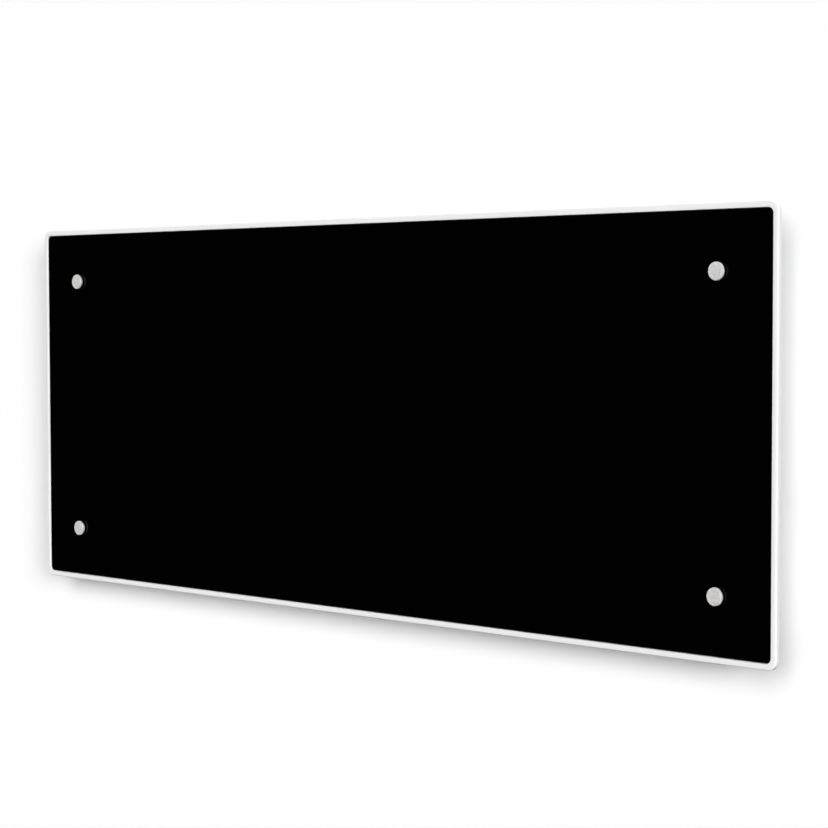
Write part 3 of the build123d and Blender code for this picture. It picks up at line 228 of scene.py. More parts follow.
flag_mesh = bpy.data.meshes.new("black_flag")
flag_points = []
for step in range(flag_steps + 1):
    bearing = flag_left + (flag_right - flag_left) * step / flag_steps
    for height in (flag_low, flag_high):
        flag_points.append((flag_radius * math.sin(bearing), -flag_radius * math.cos(bearing), height))
flag_faces = [(2 * i, 2 * i + 2, 2 * i + 3, 2 * i + 1) for i in range(flag_steps)]
flag_mesh.from_pydata(flag_points, [], flag_faces)
flag_mesh.materials.append(black_cloth())
flag = bpy.data.objects.new("black_flag", flag_mesh)
scene.collection.objects.link(flag)
flag.visible_camera = False
flag.visible_diffuse = False
flag.visible_transmission = False
flag.visible_shadow = False
print("the flag reaches from", flag_low, "to", flag_high, "m")

# %% [markdown]
# Soft light that is even all over the wall comes from very large, far lamps. An area lamp near the
# heater would leave a bright patch on the wall. A sun with a wide angle is a better lamp here: its
# light has no fall-off, and the angle sets how soft its shadow is. The key lamp stands to the right
# and a little above, and makes the soft edge of shade under the panel. The side lamp comes more along
# the wall, which throws the shade out on the left and brightens the sides of the caps. A weak lamp in
# front evens the shade out on the right. Two more light the back of the heater through the wall, and
# stop at their first surface: if they went on, they would fill the shade between heater and wall.

# %% Lamps
lamps = {
    # name: (bearing to the right, height above level, its angle, in degrees; strength; bounces)
    "key": (28.0, 17.0, 30.0, 1.9, 12),
    "side": (58.0, 8.5, 17.0, 2.15, 12),
    "front": (-5.0, 4.0, 32.0, 0.25, 12),
    "back_high": (-166.0, 38.0, 50.0, 2.3, 0),
    "back_low": (-140.0, -6.0, 50.0, 1.2, 0),
}


def soft_lamp(name, bearing, height, angle, strength, bounces):
    """A far lamp with a wide angle, whose light has no fall-off; bearing 0 faces the panel."""
    data = bpy.data.lights.new(name, "SUN")
    data.angle = math.radians(angle)
    data.energy = strength
    data.cycles.max_bounces = bounces
    lamp = bpy.data.objects.new(name, data)
    turn = Matrix.Rotation(math.radians(bearing), 4, "Z")
    lamp.matrix_world = turn @ Matrix.Rotation(math.pi / 2 - math.radians(height), 4, "X")
    scene.collection.objects.link(lamp)
    return lamp


for name, settings in lamps.items():
    soft_lamp(name, *settings)
print(len(lamps), "lamps")

# %% [markdown]
# The world adds an even, dim sky to the lamps. To the picture, metal and glass it looks plain white,
# by the same Light Path nodes that the wall has.

# %% The world
world_light = 0.05
sky_white = (1, 1, 1, 1)
world = bpy.data.worlds.new("studio")
scene.world = world
world.use_nodes = True
sky = world.node_tree
sky.nodes.clear()
shown = add_node(sky, "ShaderNodeBackground", {"Color": sky_white})
lighting = add_node(sky, "ShaderNodeBackground", {"Color": sky_white, "Strength": world_light})
both_skies = {"Fac": white_ray_share(sky), 1: lighting.outputs[0], 2: shown.outputs[0]}
sky_mix = add_node(sky, "ShaderNodeMixShader", both_skies)
add_node(sky, "ShaderNodeOutputWorld", {"Surface": sky_mix.outputs[0]})
print("the sky lights the heater with a strength of", world_light)

# %% [markdown]
# ## Finishes
#
# Every finish is a small tree of nodes round one Principled shader. No real surface is one flat
# colour: paint has a faint orange peel, metal has grain, plastic has a fine spark texture. Pictures
# could give such a pattern, but noise costs no file and never repeats. It reads Object coordinates,
# so that a grain has its real size in metres whatever piece it lies on.

# %% A finish and its noise
noise_detail = 2.0


def new_finish(name, roughness, metallic=0.0):
    """A material with one Principled shader, its tree and that shader."""
    material = bpy.data.materials.new(name)
    material.use_nodes = True
    tree = material.node_tree
    shader = tree.nodes["Principled BSDF"]
    shader.inputs["Roughness"].default_value = roughness
    shader.inputs["Metallic"].default_value = metallic
    return material, tree, shader


def stretched_place(tree, stretch=(1, 1, 1)):
    """Object coordinates, squeezed along some axes to make a pattern with a direction."""
    place = add_node(tree, "ShaderNodeTexCoord").outputs["Object"]
    return add_node(tree, "ShaderNodeMapping", {"Vector": place, "Scale": stretch}).outputs["Vector"]


def noise(tree, place, grain_size, detail=noise_detail):
    """Noise whose blotches are about grain_size metres across; detail adds finer layers."""
    inputs = {"Vector": place, "Scale": 1.0 / grain_size, "Detail": detail}
    return add_node(tree, "ShaderNodeTexNoise", inputs).outputs["Fac"]


print("helpers:", ", ".join(helper.__name__ for helper in (new_finish, stretched_place, noise)))

# %% [markdown]
# A pattern works in three places: colour, roughness and bump. Noise rarely comes near 0 or 1, so the
# two ends of a colour or a roughness are put where it really varies. Those ends are given as shares
# of the finish's own colour and as steps from its own roughness, so they suit every finish alike.

# %% Colour, roughness and bump
pattern_low = 0.3
pattern_high = 0.7


def colour_between(tree, shader, pattern, dark, light):
    """Base colour that wanders between two colours."""
    ramp = add_node(tree, "ShaderNodeValToRGB", {"Fac": pattern})
    ramp.color_ramp.elements[0].position = pattern_low
    ramp.color_ramp.elements[1].position = pattern_high
    ramp.color_ramp.elements[0].color = (*dark, 1)
    ramp.color_ramp.elements[1].color = (*light, 1)
    tree.links.new(ramp.outputs["Color"], shader.inputs["Base Color"])


def roughness_between(tree, shader, pattern, low, high):
    """Roughness that wanders between two values."""
    ends = {"From Min": pattern_low, "From Max": pattern_high, "To Min": low, "To Max": high}
    spread = add_node(tree, "ShaderNodeMapRange", {"Value": pattern, **ends})
    tree.links.new(spread.outputs["Result"], shader.inputs["Roughness"])


def bumps(tree, shader, pattern, depth, strength=1.0):
    """Bumps whose height is depth metres."""
    bump = add_node(tree, "ShaderNodeBump", {"Height": pattern, "Distance": depth, "Strength": strength})
    tree.links.new(bump.outputs["Normal"], shader.inputs["Normal"])


def tones(colour, shares):
    """Darker and lighter tones of a colour, by their shares of it."""
    return [tuple(min(1.0, part * share) for part in colour) for share in shares]


def about(value, steps):
    """The values that lie these steps from a value."""
    return [value + step for step in steps]


print("a pattern is read between", pattern_low, "and", pattern_high)

# %% [markdown]
# Powder coat is sprayed on dry and baked, so it flows into a skin with a very shallow orange peel.
# The frame and the cover are smooth satin, and the bracket has the same coat. Three noises of
# different sizes give the slow drift of its tone, the patches of its gloss and the peel.

# %% Powder-coated steel
drift_size = 60 * MM
coat_tones = (0.985, 1.01)
gloss_patch = 9 * MM
cloud_detail = 4.0
coat_steps = (-0.04, 0.05)
peel_size = 1.4 * MM
peel_detail = 1.0
peel_depth = 0.004 * MM


def powder_coat(name, colour, roughness):
    """Baked powder coat with orange peel."""
    material, tree, shader = new_finish(name, roughness)
    place = stretched_place(tree)
    colour_between(tree, shader, noise(tree, place, drift_size), *tones(colour, coat_tones))
    patches = noise(tree, place, gloss_patch, cloud_detail)
    roughness_between(tree, shader, patches, *about(roughness, coat_steps))
    bumps(tree, shader, noise(tree, place, peel_size, peel_detail), peel_depth)
    return material


print("the coat's peel is", peel_size / MM, "mm wide and", peel_depth / MM, "mm deep")

# %% [markdown]
# The heater's face is toughened glass with black enamel baked on. Real glass lets light in as far as
# the enamel, but as the enamel lies on its back and is black, an opaque black shader looks the same
# and is quicker. It is as smooth as glass can be, so it needs almost no roughness and no bump: only a
# very faint haze keeps it from being a perfect mirror. The dark window over the display is alike.

# %% Black glass and the dark window
haze_size = 35 * MM
haze_detail = 5.0
glass_tones = ((0.0004, 0.0004, 0.0004), (0.0007, 0.0006, 0.0006))
glass_gloss = 0.1
glass_steps = (-0.01, 0.02)
window_haze_size = 6 * MM
fine_detail = 3.0
window_tones = ((0.004, 0.004, 0.005), (0.009, 0.009, 0.010))
window_gloss = 0.3
window_steps = (-0.01, 0.04)


def black_glass(name, roughness):
    """Opaque black glass with a trace of haze."""
    material, tree, shader = new_finish(name, roughness)
    shader.inputs["Specular IOR Level"].default_value = glass_gloss
    haze = noise(tree, stretched_place(tree), haze_size, haze_detail)
    colour_between(tree, shader, haze, *glass_tones)
    roughness_between(tree, shader, haze, *about(roughness, glass_steps))
    return material


def smoked_window(name, roughness):
    """Dark window that is black until the display behind it lights up."""
    material, tree, shader = new_finish(name, roughness)
    shader.inputs["Specular IOR Level"].default_value = window_gloss
    haze = noise(tree, stretched_place(tree), window_haze_size, fine_detail)
    colour_between(tree, shader, haze, *window_tones)
    roughness_between(tree, shader, haze, *about(roughness, window_steps))
    return material


print("the haze on the glass wanders over", round(haze_size / MM), "mm")

# %% [markdown]
# A turned cap has fine rings from the lathe tool, and a satin face that looks soft grey. The rings
# could be cut in the mesh, but they are far finer than its faces, so they are bumps: a wave that
# depends on the distance from the cap's axis. That distance is read from the cap's own UV map,
# because there are four caps and only one pattern.

# %% Turned metal
ring_pitch = 0.35 * MM
ring_depth = 0.004 * MM
ring_strength = 0.7
satin_cloud = 2.5 * MM
satin_tones = (0.86, 1.06)
satin_steps = (-0.05, 0.05)


def turned_metal(name, colour, roughness):
    """Satin metal with lathe rings around the centre of the UV map."""
    material, tree, shader = new_finish(name, roughness, metallic=1.0)
    spot = add_node(tree, "ShaderNodeTexCoord").outputs["UV"]
    distance = add_node(tree, "ShaderNodeVectorMath", {0: spot}, operation="LENGTH")
    turns = calculated(tree, "MULTIPLY", distance.outputs["Value"], 2 * math.pi / ring_pitch)
    cloud = noise(tree, stretched_place(tree), satin_cloud, cloud_detail)
    colour_between(tree, shader, cloud, *tones(colour, satin_tones))
    roughness_between(tree, shader, cloud, *about(roughness, satin_steps))
    bumps(tree, shader, calculated(tree, "SINE", turns), ring_depth, ring_strength)
    return material


print("a ring every", ring_pitch / MM, "mm")

# %% [markdown]
# Screws, rivets and straps are zinc-plated steel, the element is a rolled foil and the pan is
# galvanised sheet. Rolled or drawn metal has grain along one direction: the same noise as before,
# squeezed along that direction. Galvanised sheet shows the flat crystals of its zinc, each of its
# own grey. A Voronoi pattern has such cells, which noise can't give.

# %% Plated, rolled and galvanised metal
metal_grain = 1.2 * MM
metal_grain_depth = 0.006 * MM
metal_grain_strength = 0.5
metal_tones = (0.88, 1.06)
metal_steps = (-0.07, 0.1)
zinc_crystal = 9 * MM
zinc_steps = (-0.1, 0.1)
zinc_metallic = 0.9


def plated_metal(name, colour, roughness, grain=(1, 1, 1)):
    """Metal with a soft grain, stretched along an axis if grain says so."""
    material, tree, shader = new_finish(name, roughness, metallic=1.0)
    pattern = noise(tree, stretched_place(tree, grain), metal_grain, fine_detail)
    colour_between(tree, shader, pattern, *tones(colour, metal_tones))
    roughness_between(tree, shader, pattern, *about(roughness, metal_steps))
    bumps(tree, shader, pattern, metal_grain_depth, metal_grain_strength)
    return material


def galvanised(name, colour, roughness):
    """Sheet with flat zinc crystals of slightly different greys."""
    material, tree, shader = new_finish(name, roughness, metallic=zinc_metallic)
    inputs = {"Vector": stretched_place(tree), "Scale": 1.0 / zinc_crystal}
    crystals = add_node(tree, "ShaderNodeTexVoronoi", inputs)
    grey = add_node(tree, "ShaderNodeSeparateColor", {"Color": crystals.outputs["Color"]})
    colour_between(tree, shader, grey.outputs["Red"], *tones(colour, metal_tones))
    roughness_between(tree, shader, grey.outputs["Green"], *about(roughness, zinc_steps))
    return material


print("zinc crystals are about", round(zinc_crystal / MM), "mm across")

# %% [markdown]
# Moulded plastic carries the fine texture of its mould. Rubber, ceramic and silicone are the same
# idea with other numbers, so one function makes them all. The milky silicone of the seal also lets
# some light through.

# %% Plastic, rubber, ceramic and silicone
mould_grain = 0.5 * MM
mould_depth = 0.01 * MM
mould_strength = 0.6
mould_steps = (-0.05, 0.06)
tone_size = 14 * MM
mould_tones = (0.95, 1.03)
milky_share = 0.35


def moulded(name, colour, roughness, depth=mould_depth):
    """Moulded plastic, rubber or ceramic with an even fine texture."""
    material, tree, shader = new_finish(name, roughness)
    place = stretched_place(tree)
    colour_between(tree, shader, noise(tree, place, tone_size), *tones(colour, mould_tones))
    grain = noise(tree, place, mould_grain)
    roughness_between(tree, shader, grain, *about(roughness, mould_steps))
    bumps(tree, shader, grain, depth, mould_strength)
    return material


def clear_silicone(name, colour, roughness):
    """Milky soft silicone."""
    material = moulded(name, colour, roughness)
    shader = material.node_tree.nodes["Principled BSDF"]
    shader.inputs["Transmission Weight"].default_value = milky_share
    return material


print("the mould's texture is", mould_grain / MM, "mm wide")

# %% [markdown]
# Mineral wool is a felt of fine fibres. Real hairs would be millions of faces for a piece that lies
# inside, so two noises, each squeezed along its own axis, cross each other. A circuit board is green
# lacquer over copper tracks, whose straight runs a brick pattern draws well enough.

# %% Wool and circuit board
fibre_w = 0.9 * MM
fibre_squeeze = 0.15
fibre_depth = 0.5 * MM
wool_tones = ((0.46, 0.41, 0.27), (0.74, 0.69, 0.52))
track_depth = 0.03 * MM
board_tracks = {
    "Scale": 90.0,
    "Mortar Size": 0.05,
    "Color1": (0.010, 0.075, 0.030, 1),
    "Color2": (0.012, 0.095, 0.038, 1),
    "Mortar": (0.030, 0.190, 0.075, 1),
}


def mineral_wool(name, roughness):
    """Felted mineral fibres."""
    material, tree, shader = new_finish(name, roughness)
    across = noise(tree, stretched_place(tree, (fibre_squeeze, 1, 1)), fibre_w, fine_detail)
    along = noise(tree, stretched_place(tree, (1, 1, fibre_squeeze)), fibre_w, fine_detail)
    fibres = calculated(tree, "MAXIMUM", across, along)
    colour_between(tree, shader, fibres, *wool_tones)
    bumps(tree, shader, fibres, fibre_depth)
    return material


def circuit_board(name, roughness):
    """Green lacquer with lighter tracks under it."""
    material, tree, shader = new_finish(name, roughness)
    tracks = add_node(tree, "ShaderNodeTexBrick", {"Vector": stretched_place(tree), **board_tracks})
    tree.links.new(tracks.outputs["Color"], shader.inputs["Base Color"])
    bumps(tree, shader, tracks.outputs["Fac"], track_depth)
    return material


print("a fibre is", fibre_w / MM, "mm wide and", round(fibre_w / fibre_squeeze / MM), "mm long")

# %% [markdown]
# Now each finish in the record gets its material. The names on the left are the record's own, and
# the colours are linear, so 0.86 is the white of a painted radiator and 0.5 is a light grey.

# %% The heater's finishes
recipes = {
    # slot: (function, colour, roughness, grain or depth); four have their colours in the function's cell
    "white_paint": (powder_coat, (0.86, 0.86, 0.865), 0.38),
    "bracket_paint": (powder_coat, (0.80, 0.80, 0.80), 0.45),
    "black_glass": (black_glass, 0.03),
    "cap_metal": (turned_metal, (0.71, 0.70, 0.69), 0.78),
    "zinc_steel": (plated_metal, (0.62, 0.63, 0.64), 0.36),
    "screw_steel": (plated_metal, (0.66, 0.66, 0.67), 0.30),
    "element_alloy": (plated_metal, (0.42, 0.40, 0.38), 0.38, (0.1, 1, 1)),
    "copper_tag": (plated_metal, (0.80, 0.50, 0.34), 0.32),
    "reflector_sheet": (plated_metal, (0.88, 0.89, 0.90), 0.22, (0.05, 1, 1)),
    "can_metal": (plated_metal, (0.70, 0.71, 0.72), 0.30, (1, 1, 0.2)),
    "galvanised_pan": (galvanised, (0.58, 0.60, 0.62), 0.40),
    "amber_film": (moulded, (0.62, 0.30, 0.07), 0.25),
    "clear_silicone": (clear_silicone, (0.75, 0.76, 0.76), 0.35),
    "mineral_wool": (mineral_wool, 0.95),
    "ceramic": (moulded, (0.83, 0.81, 0.76), 0.32),
    "black_rubber": (moulded, (0.020, 0.020, 0.021), 0.68, 2 * mould_depth),
    "cutout_body": (moulded, (0.045, 0.030, 0.022), 0.42),
    "grey_nylon": (moulded, (0.36, 0.37, 0.38), 0.48),
    "black_plastic": (moulded, (0.016, 0.016, 0.017), 0.40),
    "white_plastic": (moulded, (0.82, 0.82, 0.82), 0.44),
    "fascia_plastic": (moulded, (0.045, 0.046, 0.048), 0.34),
    "key_plastic": (moulded, (0.30, 0.31, 0.32), 0.42),
    "smoked_window": (smoked_window, 0.06),
    "circuit_board": (circuit_board, 0.35),
    "lead_sleeve": (moulded, (0.72, 0.71, 0.68), 0.55),
    "earth_sleeve": (moulded, (0.10, 0.33, 0.06), 0.50),
}
finishes = {name: make(name, *sizes) for name, (make, *sizes) in recipes.items()}
missing = sorted(set(slot_of_node.values()) - set(finishes))
print(len(finishes), "finishes; without one:", missing or "none")

# %% [markdown]
# ## Pieces
#
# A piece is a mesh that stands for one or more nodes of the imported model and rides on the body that
# carries them. One helper does all of that bookkeeping, so no piece is forgotten. It leaves each mesh
# with one material, as a mesh out of Geometry Nodes may come with an empty slot beside its own. It
# also smooths the shading everywhere but at edges sharper than an angle. Another turns what was drawn
# into a mesh: a bmesh is the easiest place to draw in, as it knows which edge belongs to which face.

# %% Making a piece
pieces_made = []
usual_smooth_angle = 32.0
merge_distance = 0.001 * MM


def add_piece(name, mesh, nodes, finish=None, smooth_angle=usual_smooth_angle, lies_on=False):
    """Link a mesh as a piece that stands for some nodes, or lies on one, with their body and finish."""
    mesh.name = name
    finish = finish or slot_of_node[nodes[0]]
    mesh.materials.clear()
    mesh.materials.append(finishes[finish])
    mesh.shade_smooth()
    mesh.set_sharp_from_angle(angle=math.radians(smooth_angle))
    piece = bpy.data.objects.new(name, mesh)
    scene.collection.objects.link(piece)
    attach(piece, body_of_node[nodes[0]])
    if not lies_on:
        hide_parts(*nodes)
    pieces_made.append(name)
    print(name, "has", len(mesh.polygons), "faces and rides on", body_of_node[nodes[0]])
    return piece


def mesh_from(work, name):
    """A mesh from a bmesh, with its doubles merged and every face turned outwards."""
    bmesh.ops.remove_doubles(work, verts=work.verts, dist=merge_distance)
    bmesh.ops.recalc_face_normals(work, faces=work.faces)
    mesh = bpy.data.meshes.new(name)
    work.to_mesh(mesh)
    work.free()
    return mesh


print("helpers:", add_piece.__name__, mesh_from.__name__)

# %% [markdown]
# ### The front frame
#
# The white frame is one section carried round a rounded rectangle. It could be a box with a hole and
# a Bevel modifier, but a sweep gives clean strips of faces, and each strip's size can be read from
# the section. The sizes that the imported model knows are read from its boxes.

# %% Sizes of frame and glass
low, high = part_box("front_frame")
frame_w = high.x - low.x
frame_h = high.z - low.z
frame_front = -low.y
frame_back = -high.y
glass_low, glass_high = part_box("glass_panel")
glass_front = -glass_low.y
glass_back = -glass_high.y
glass_w = glass_high.x - glass_low.x
glass_h = glass_high.z - glass_low.z
glass_gap = 0.4 * MM
rim_w = (frame_w - glass_w) / 2 - glass_gap
print("the glass is", round(glass_w / MM), "by", round(glass_h / MM), "mm, its rim", round(rim_w / MM, 1))

# %% [markdown]
# The sweep follows a rounded rectangle: four quarter circles, joined by straight runs. Roundings in
# the section are arcs of a few points too, as it is these narrow bands that catch the light.

# %% Outlines and arcs
arc_steps = 5
corner_steps = 18


def rounded_rectangle(width, height, radius):
    """Points of a rounded rectangle, anticlockwise seen from the room, as x and z."""
    half_w = width / 2 - radius
    half_h = height / 2 - radius
    centres = [(half_w, half_h), (-half_w, half_h), (-half_w, -half_h), (half_w, -half_h)]
    points = []
    for quarter, (x, z) in enumerate(centres):
        for step in range(corner_steps + 1):
            angle = math.pi / 2 * (quarter + step / corner_steps)
            points.append((x + radius * math.cos(angle), z + radius * math.sin(angle)))
    return points


def arc(centre_inset, centre_depth, radius, start, end):
    """Points of an arc in the section, as inset and depth."""
    points = []
    for step in range(arc_steps + 1):
        angle = math.radians(start + (end - start) * step / arc_steps)
        points.append((centre_inset + radius * math.cos(angle), centre_depth + radius * math.sin(angle)))
    return points


print("a corner has", corner_steps + 1, "points and a rounding", arc_steps + 1)

# %% [markdown]
# The section is a short list of points, each with its inset from the frame's outside and its depth
# from the wall. Every point becomes a ring round the frame, and two neighbouring rings make a strip.

# %% The front frame
rim_side = 4.2 * MM
rim_taper = 5.0 * MM
rim_edge_r = 1.2 * MM
rim_lip_r = 0.4 * MM
ledge_w = 9.0 * MM
seal_t = 0.8 * MM
ledge_front = glass_back - seal_t
outer_corner_r = 8.0 * MM
opening_corner_r = 5.0 * MM


def frame_section():
    """Round the frame's section once: back, taper, side, front, opening and ledge."""
    section = [(rim_taper, frame_back), (0.0, frame_front - rim_side)]
    section += arc(rim_edge_r, frame_front - rim_edge_r, rim_edge_r, 180, 90)
    section += arc(rim_w - rim_lip_r, frame_front - rim_lip_r, rim_lip_r, 90, 0)
    section += [(rim_w, ledge_front), (rim_w + ledge_w, ledge_front), (rim_w + ledge_w, frame_back)]
    return section


def strips(work, rings, closed=False):
    """Bands of faces between neighbouring rings of vertices."""
    for here, there in zip(rings, rings[1:] + rings[:1] if closed else rings[1:]):
        for i in range(len(here)):
            j = (i + 1) % len(here)
            work.faces.new((here[i], here[j], there[j], there[i]))


def swept_ring(section):
    """A closed ring with that section."""
    work = bmesh.new()
    rings = []
    for inset, depth in section:
        radius = max(outer_corner_r - inset, opening_corner_r)
        outline = rounded_rectangle(frame_w - 2 * inset, frame_h - 2 * inset, radius)
        rings.append([work.verts.new((x, -depth, z)) for x, z in outline])
    strips(work, rings, closed=True)
    return work


add_piece("front_frame_rim", mesh_from(swept_ring(frame_section()), "rim"), ["front_frame"])

# %% [markdown]
# ### The glass
#
# Toughened glass has its sharp edges ground off, a narrow flat called an arris, because a nick there
# would shatter it. The sheet has four drilled holes under the caps. A Boolean could drill them, but
# it leaves long thin faces. Here rings of points make the edges and the holes, by the same strips as
# the frame's, and the two flat faces are filled between them.

# %% The glass sheet
arris = 0.5 * MM
glass_corner_r = opening_corner_r - glass_gap
hole_r = 5.0 * MM
hole_steps = 32
glass_smooth_angle = 20.0
cap_low, cap_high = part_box("cap_top_right")
cap_x = (cap_low.x + cap_high.x) / 2
cap_z = (cap_low.z + cap_high.z) / 2
cap_r = (cap_high.x - cap_low.x) / 2


def edge_band(work, outline_at):
    """The ground edge of the sheet or of a hole; returns the rings at its back and front."""
    rings = []
    for inset, depth in (
        (arris, glass_back),
        (0.0, glass_back + arris),
        (0.0, glass_front - arris),
        (arris, glass_front),
    ):
        rings.append([work.verts.new((x, -depth, z)) for x, z in outline_at(inset)])
    strips(work, rings)
    return rings[0], rings[-1]


def circle(x, z, radius, steps):
    """Points of a circle, as x and z."""
    angles = [2 * math.pi * step / steps for step in range(steps)]
    return [(x + radius * math.cos(angle), z + radius * math.sin(angle)) for angle in angles]


def ring_edges(work, ring):
    """The edges that close a ring of vertices."""
    return [work.edges.get((ring[i], ring[i - 1])) for i in range(len(ring))]


def glass_sheet():
    """The drilled sheet with its arrises."""
    work = bmesh.new()
    backs, fronts = [], []
    outlines = [
        lambda inset: rounded_rectangle(glass_w - 2 * inset, glass_h - 2 * inset, glass_corner_r - inset)
    ]
    for side_x in (-1, 1):
        for side_z in (-1, 1):
            outlines.append(
                lambda inset, x=side_x * cap_x, z=side_z * cap_z: circle(x, z, hole_r + inset, hole_steps)
            )
    for outline in outlines:
        back, front = edge_band(work, outline)
        backs += ring_edges(work, back)
        fronts += ring_edges(work, front)
    bmesh.ops.triangle_fill(work, use_beauty=True, edges=backs)
    bmesh.ops.triangle_fill(work, use_beauty=True, edges=fronts)
    return work


glass_mesh = mesh_from(glass_sheet(), "glass")
add_piece("black_glass_sheet", glass_mesh, ["glass_panel"], smooth_angle=glass_smooth_angle)

# %% [markdown]
# ### The caps
#
# Each cap is turned on a lathe, and so is its mesh: a half section, spun about its axis. The Screw
# modifier or Spin could do it, but a few lines of code let a ring be something else than a circle,
# which the screws need, and let the faces have a map for their lathe rings.

# %% Turning a section on a lathe


def turned(section, steps, centre=(0.0, 0.0), with_map=False):
    """Spin (radius, depth) points about an axis square to the wall; a third value is another outline."""
    work = bmesh.new()
    rings = []
    for radius, depth, *outline in section:
        if radius == 0.0:
            rings.append([work.verts.new((centre[0], -depth, centre[1]))] * steps)
        else:
            around = outline[0] if outline else circle
            points = around(centre[0], centre[1], radius, steps)
            rings.append([work.verts.new((x, -depth, z)) for x, z in points])
    for here, there in zip(rings, rings[1:]):
        for i in range(steps):
            j = (i + 1) % steps
            corners = []
            for vert in (here[i], here[j], there[j], there[i]):
                if vert not in corners:
                    corners.append(vert)
            work.faces.new(corners)
    if with_map:
        layer = work.loops.layers.uv.new("UVMap")
        for face in work.faces:
            for loop in face.loops:
                loop[layer].uv = (loop.vert.co.x - centre[0], loop.vert.co.z - centre[1])
    return work


print("helper:", turned.__name__)

# %% [markdown]
# There are four caps and many screws and rivets. Geometry Nodes set them out: a grid of points, whose
# size is the spacing of the pieces, and one piece on each point. Array modifiers could do the same
# for one row, but here the piece, the spacings and the counts are named inputs of one tree, which
# serves whatever stands in rows. The instances are made real at the end, because an export drops
# instances.

# %% A tree that sets pieces out in rows


def add_input(tree, name, kind, default=None):
    """A named input of a node tree; returns its identifier, by which a modifier is set."""
    socket = tree.interface.new_socket(name, in_out="INPUT", socket_type=kind)
    if default is not None:
        socket.default_value = default
    return socket.identifier


def rows_tree(name):
    """Nodes that put one piece on each point of a grid in the plane of the wall."""
    tree = bpy.data.node_groups.new(name, "GeometryNodeTree")
    tree.interface.new_socket("Geometry", in_out="OUTPUT", socket_type="NodeSocketGeometry")
    inputs = {
        "Piece": add_input(tree, "Piece", "NodeSocketObject"),
        "Spacing X": add_input(tree, "Spacing X", "NodeSocketFloat", 1.0),
        "Spacing Z": add_input(tree, "Spacing Z", "NodeSocketFloat", 1.0),
        "Count X": add_input(tree, "Count X", "NodeSocketInt", 2),
        "Count Z": add_input(tree, "Count Z", "NodeSocketInt", 2),
        "Finish": add_input(tree, "Finish", "NodeSocketMaterial"),
    }
    given = add_node(tree, "NodeGroupInput").outputs
    size = {}
    for axis, grid_axis in (("X", "X"), ("Z", "Y")):
        gaps = calculated(tree, "SUBTRACT", given["Count " + axis], 1.0)
        size["Vertices " + grid_axis] = given["Count " + axis]
        size["Size " + grid_axis] = calculated(tree, "MULTIPLY", given["Spacing " + axis], gaps)
    flat = add_node(tree, "GeometryNodeMeshGrid", size).outputs["Mesh"]
    turn = {"Geometry": flat, "Rotation": (math.pi / 2, 0, 0)}
    upright = add_node(tree, "GeometryNodeTransform", turn).outputs["Geometry"]
    source = add_node(tree, "GeometryNodeObjectInfo", {"Object": given["Piece"]}).outputs["Geometry"]
    both = {"Points": upright, "Instance": source}
    copies = add_node(tree, "GeometryNodeInstanceOnPoints", both).outputs["Instances"]
    real = add_node(tree, "GeometryNodeRealizeInstances", {"Geometry": copies}).outputs["Geometry"]
    dressed = add_node(tree, "GeometryNodeSetMaterial", {"Geometry": real, "Material": given["Finish"]})
    add_node(tree, "NodeGroupOutput", {"Geometry": dressed.outputs["Geometry"]})
    return tree, inputs


rows, rows_inputs = rows_tree("set_out_in_rows")
print("the tree's inputs:", ", ".join(rows_inputs))

# %% [markdown]
# To use the tree, a modifier on an empty carrier is given a value for each input, by the input's
# identifier. The evaluated carrier is then turned into a plain mesh, and carrier and pattern go.

# %% Setting pieces out


def set_out(piece_mesh, spacing_x, spacing_z, count_x, count_z, material):
    """A plain mesh of copies of a piece, one on each point of a grid."""
    pattern = bpy.data.objects.new("pattern", piece_mesh)
    carrier = bpy.data.objects.new("carrier", bpy.data.meshes.new("carrier"))
    scene.collection.objects.link(pattern)
    scene.collection.objects.link(carrier)
    modifier = carrier.modifiers.new("rows", "NODES")
    modifier.node_group = rows
    values = {
        "Piece": pattern,
        "Spacing X": spacing_x,
        "Spacing Z": spacing_z,
        "Count X": count_x,
        "Count Z": count_z,
        "Finish": material,
    }
    for name, value in values.items():
        modifier[rows_inputs[name]] = value
    made = bpy.data.meshes.new_from_object(carrier.evaluated_get(bpy.context.evaluated_depsgraph_get()))
    bpy.data.objects.remove(carrier)
    bpy.data.objects.remove(pattern)
    return made


print("helper:", set_out.__name__)

# %% [markdown]
# The caps hold the glass: each is a thin disc on a narrower neck, screwed on a stud. Its half
# section runs from its blind bore, over the neck and the back of the disc, round the edge and to the
# middle of the face. A shallow groove near the rim is where the turning tool stopped, and it is what
# draws the thin ring on a real cap.

# %% The four caps
cap_seat = -cap_high.y
cap_front = -cap_low.y
cap_steps = 64
cap_disc_t = 2.0 * MM
cap_neck_r = 6.0 * MM
cap_edge_r = 0.5 * MM
cap_bore_r = 3.05 * MM
cap_bore_depth = 2.2 * MM
groove_r = 6.1 * MM
groove_half_w = 0.22 * MM
groove_depth = 0.14 * MM
face_ring_r = 4.0 * MM
neck_chamfer = 0.2 * MM
cap_back_edge_r = 0.3 * MM
cap_smooth_angle = 28.0
disc_back = cap_front - cap_disc_t
cap_section = [
    (0.0, cap_seat + cap_bore_depth),
    (cap_bore_r, cap_seat + cap_bore_depth),
    (cap_bore_r, cap_seat),
    (cap_neck_r - neck_chamfer, cap_seat),
    (cap_neck_r, cap_seat + neck_chamfer),
    (cap_neck_r, disc_back),
]
cap_section += arc(cap_r - cap_back_edge_r, disc_back + cap_back_edge_r, cap_back_edge_r, -90, 0)
cap_section += arc(cap_r - cap_edge_r, cap_front - cap_edge_r, cap_edge_r, 0, 90)
cap_section += [
    (groove_r + groove_half_w, cap_front),
    (groove_r, cap_front - groove_depth),
    (groove_r - groove_half_w, cap_front),
    (face_ring_r, cap_front),
    (0.0, cap_front),
]
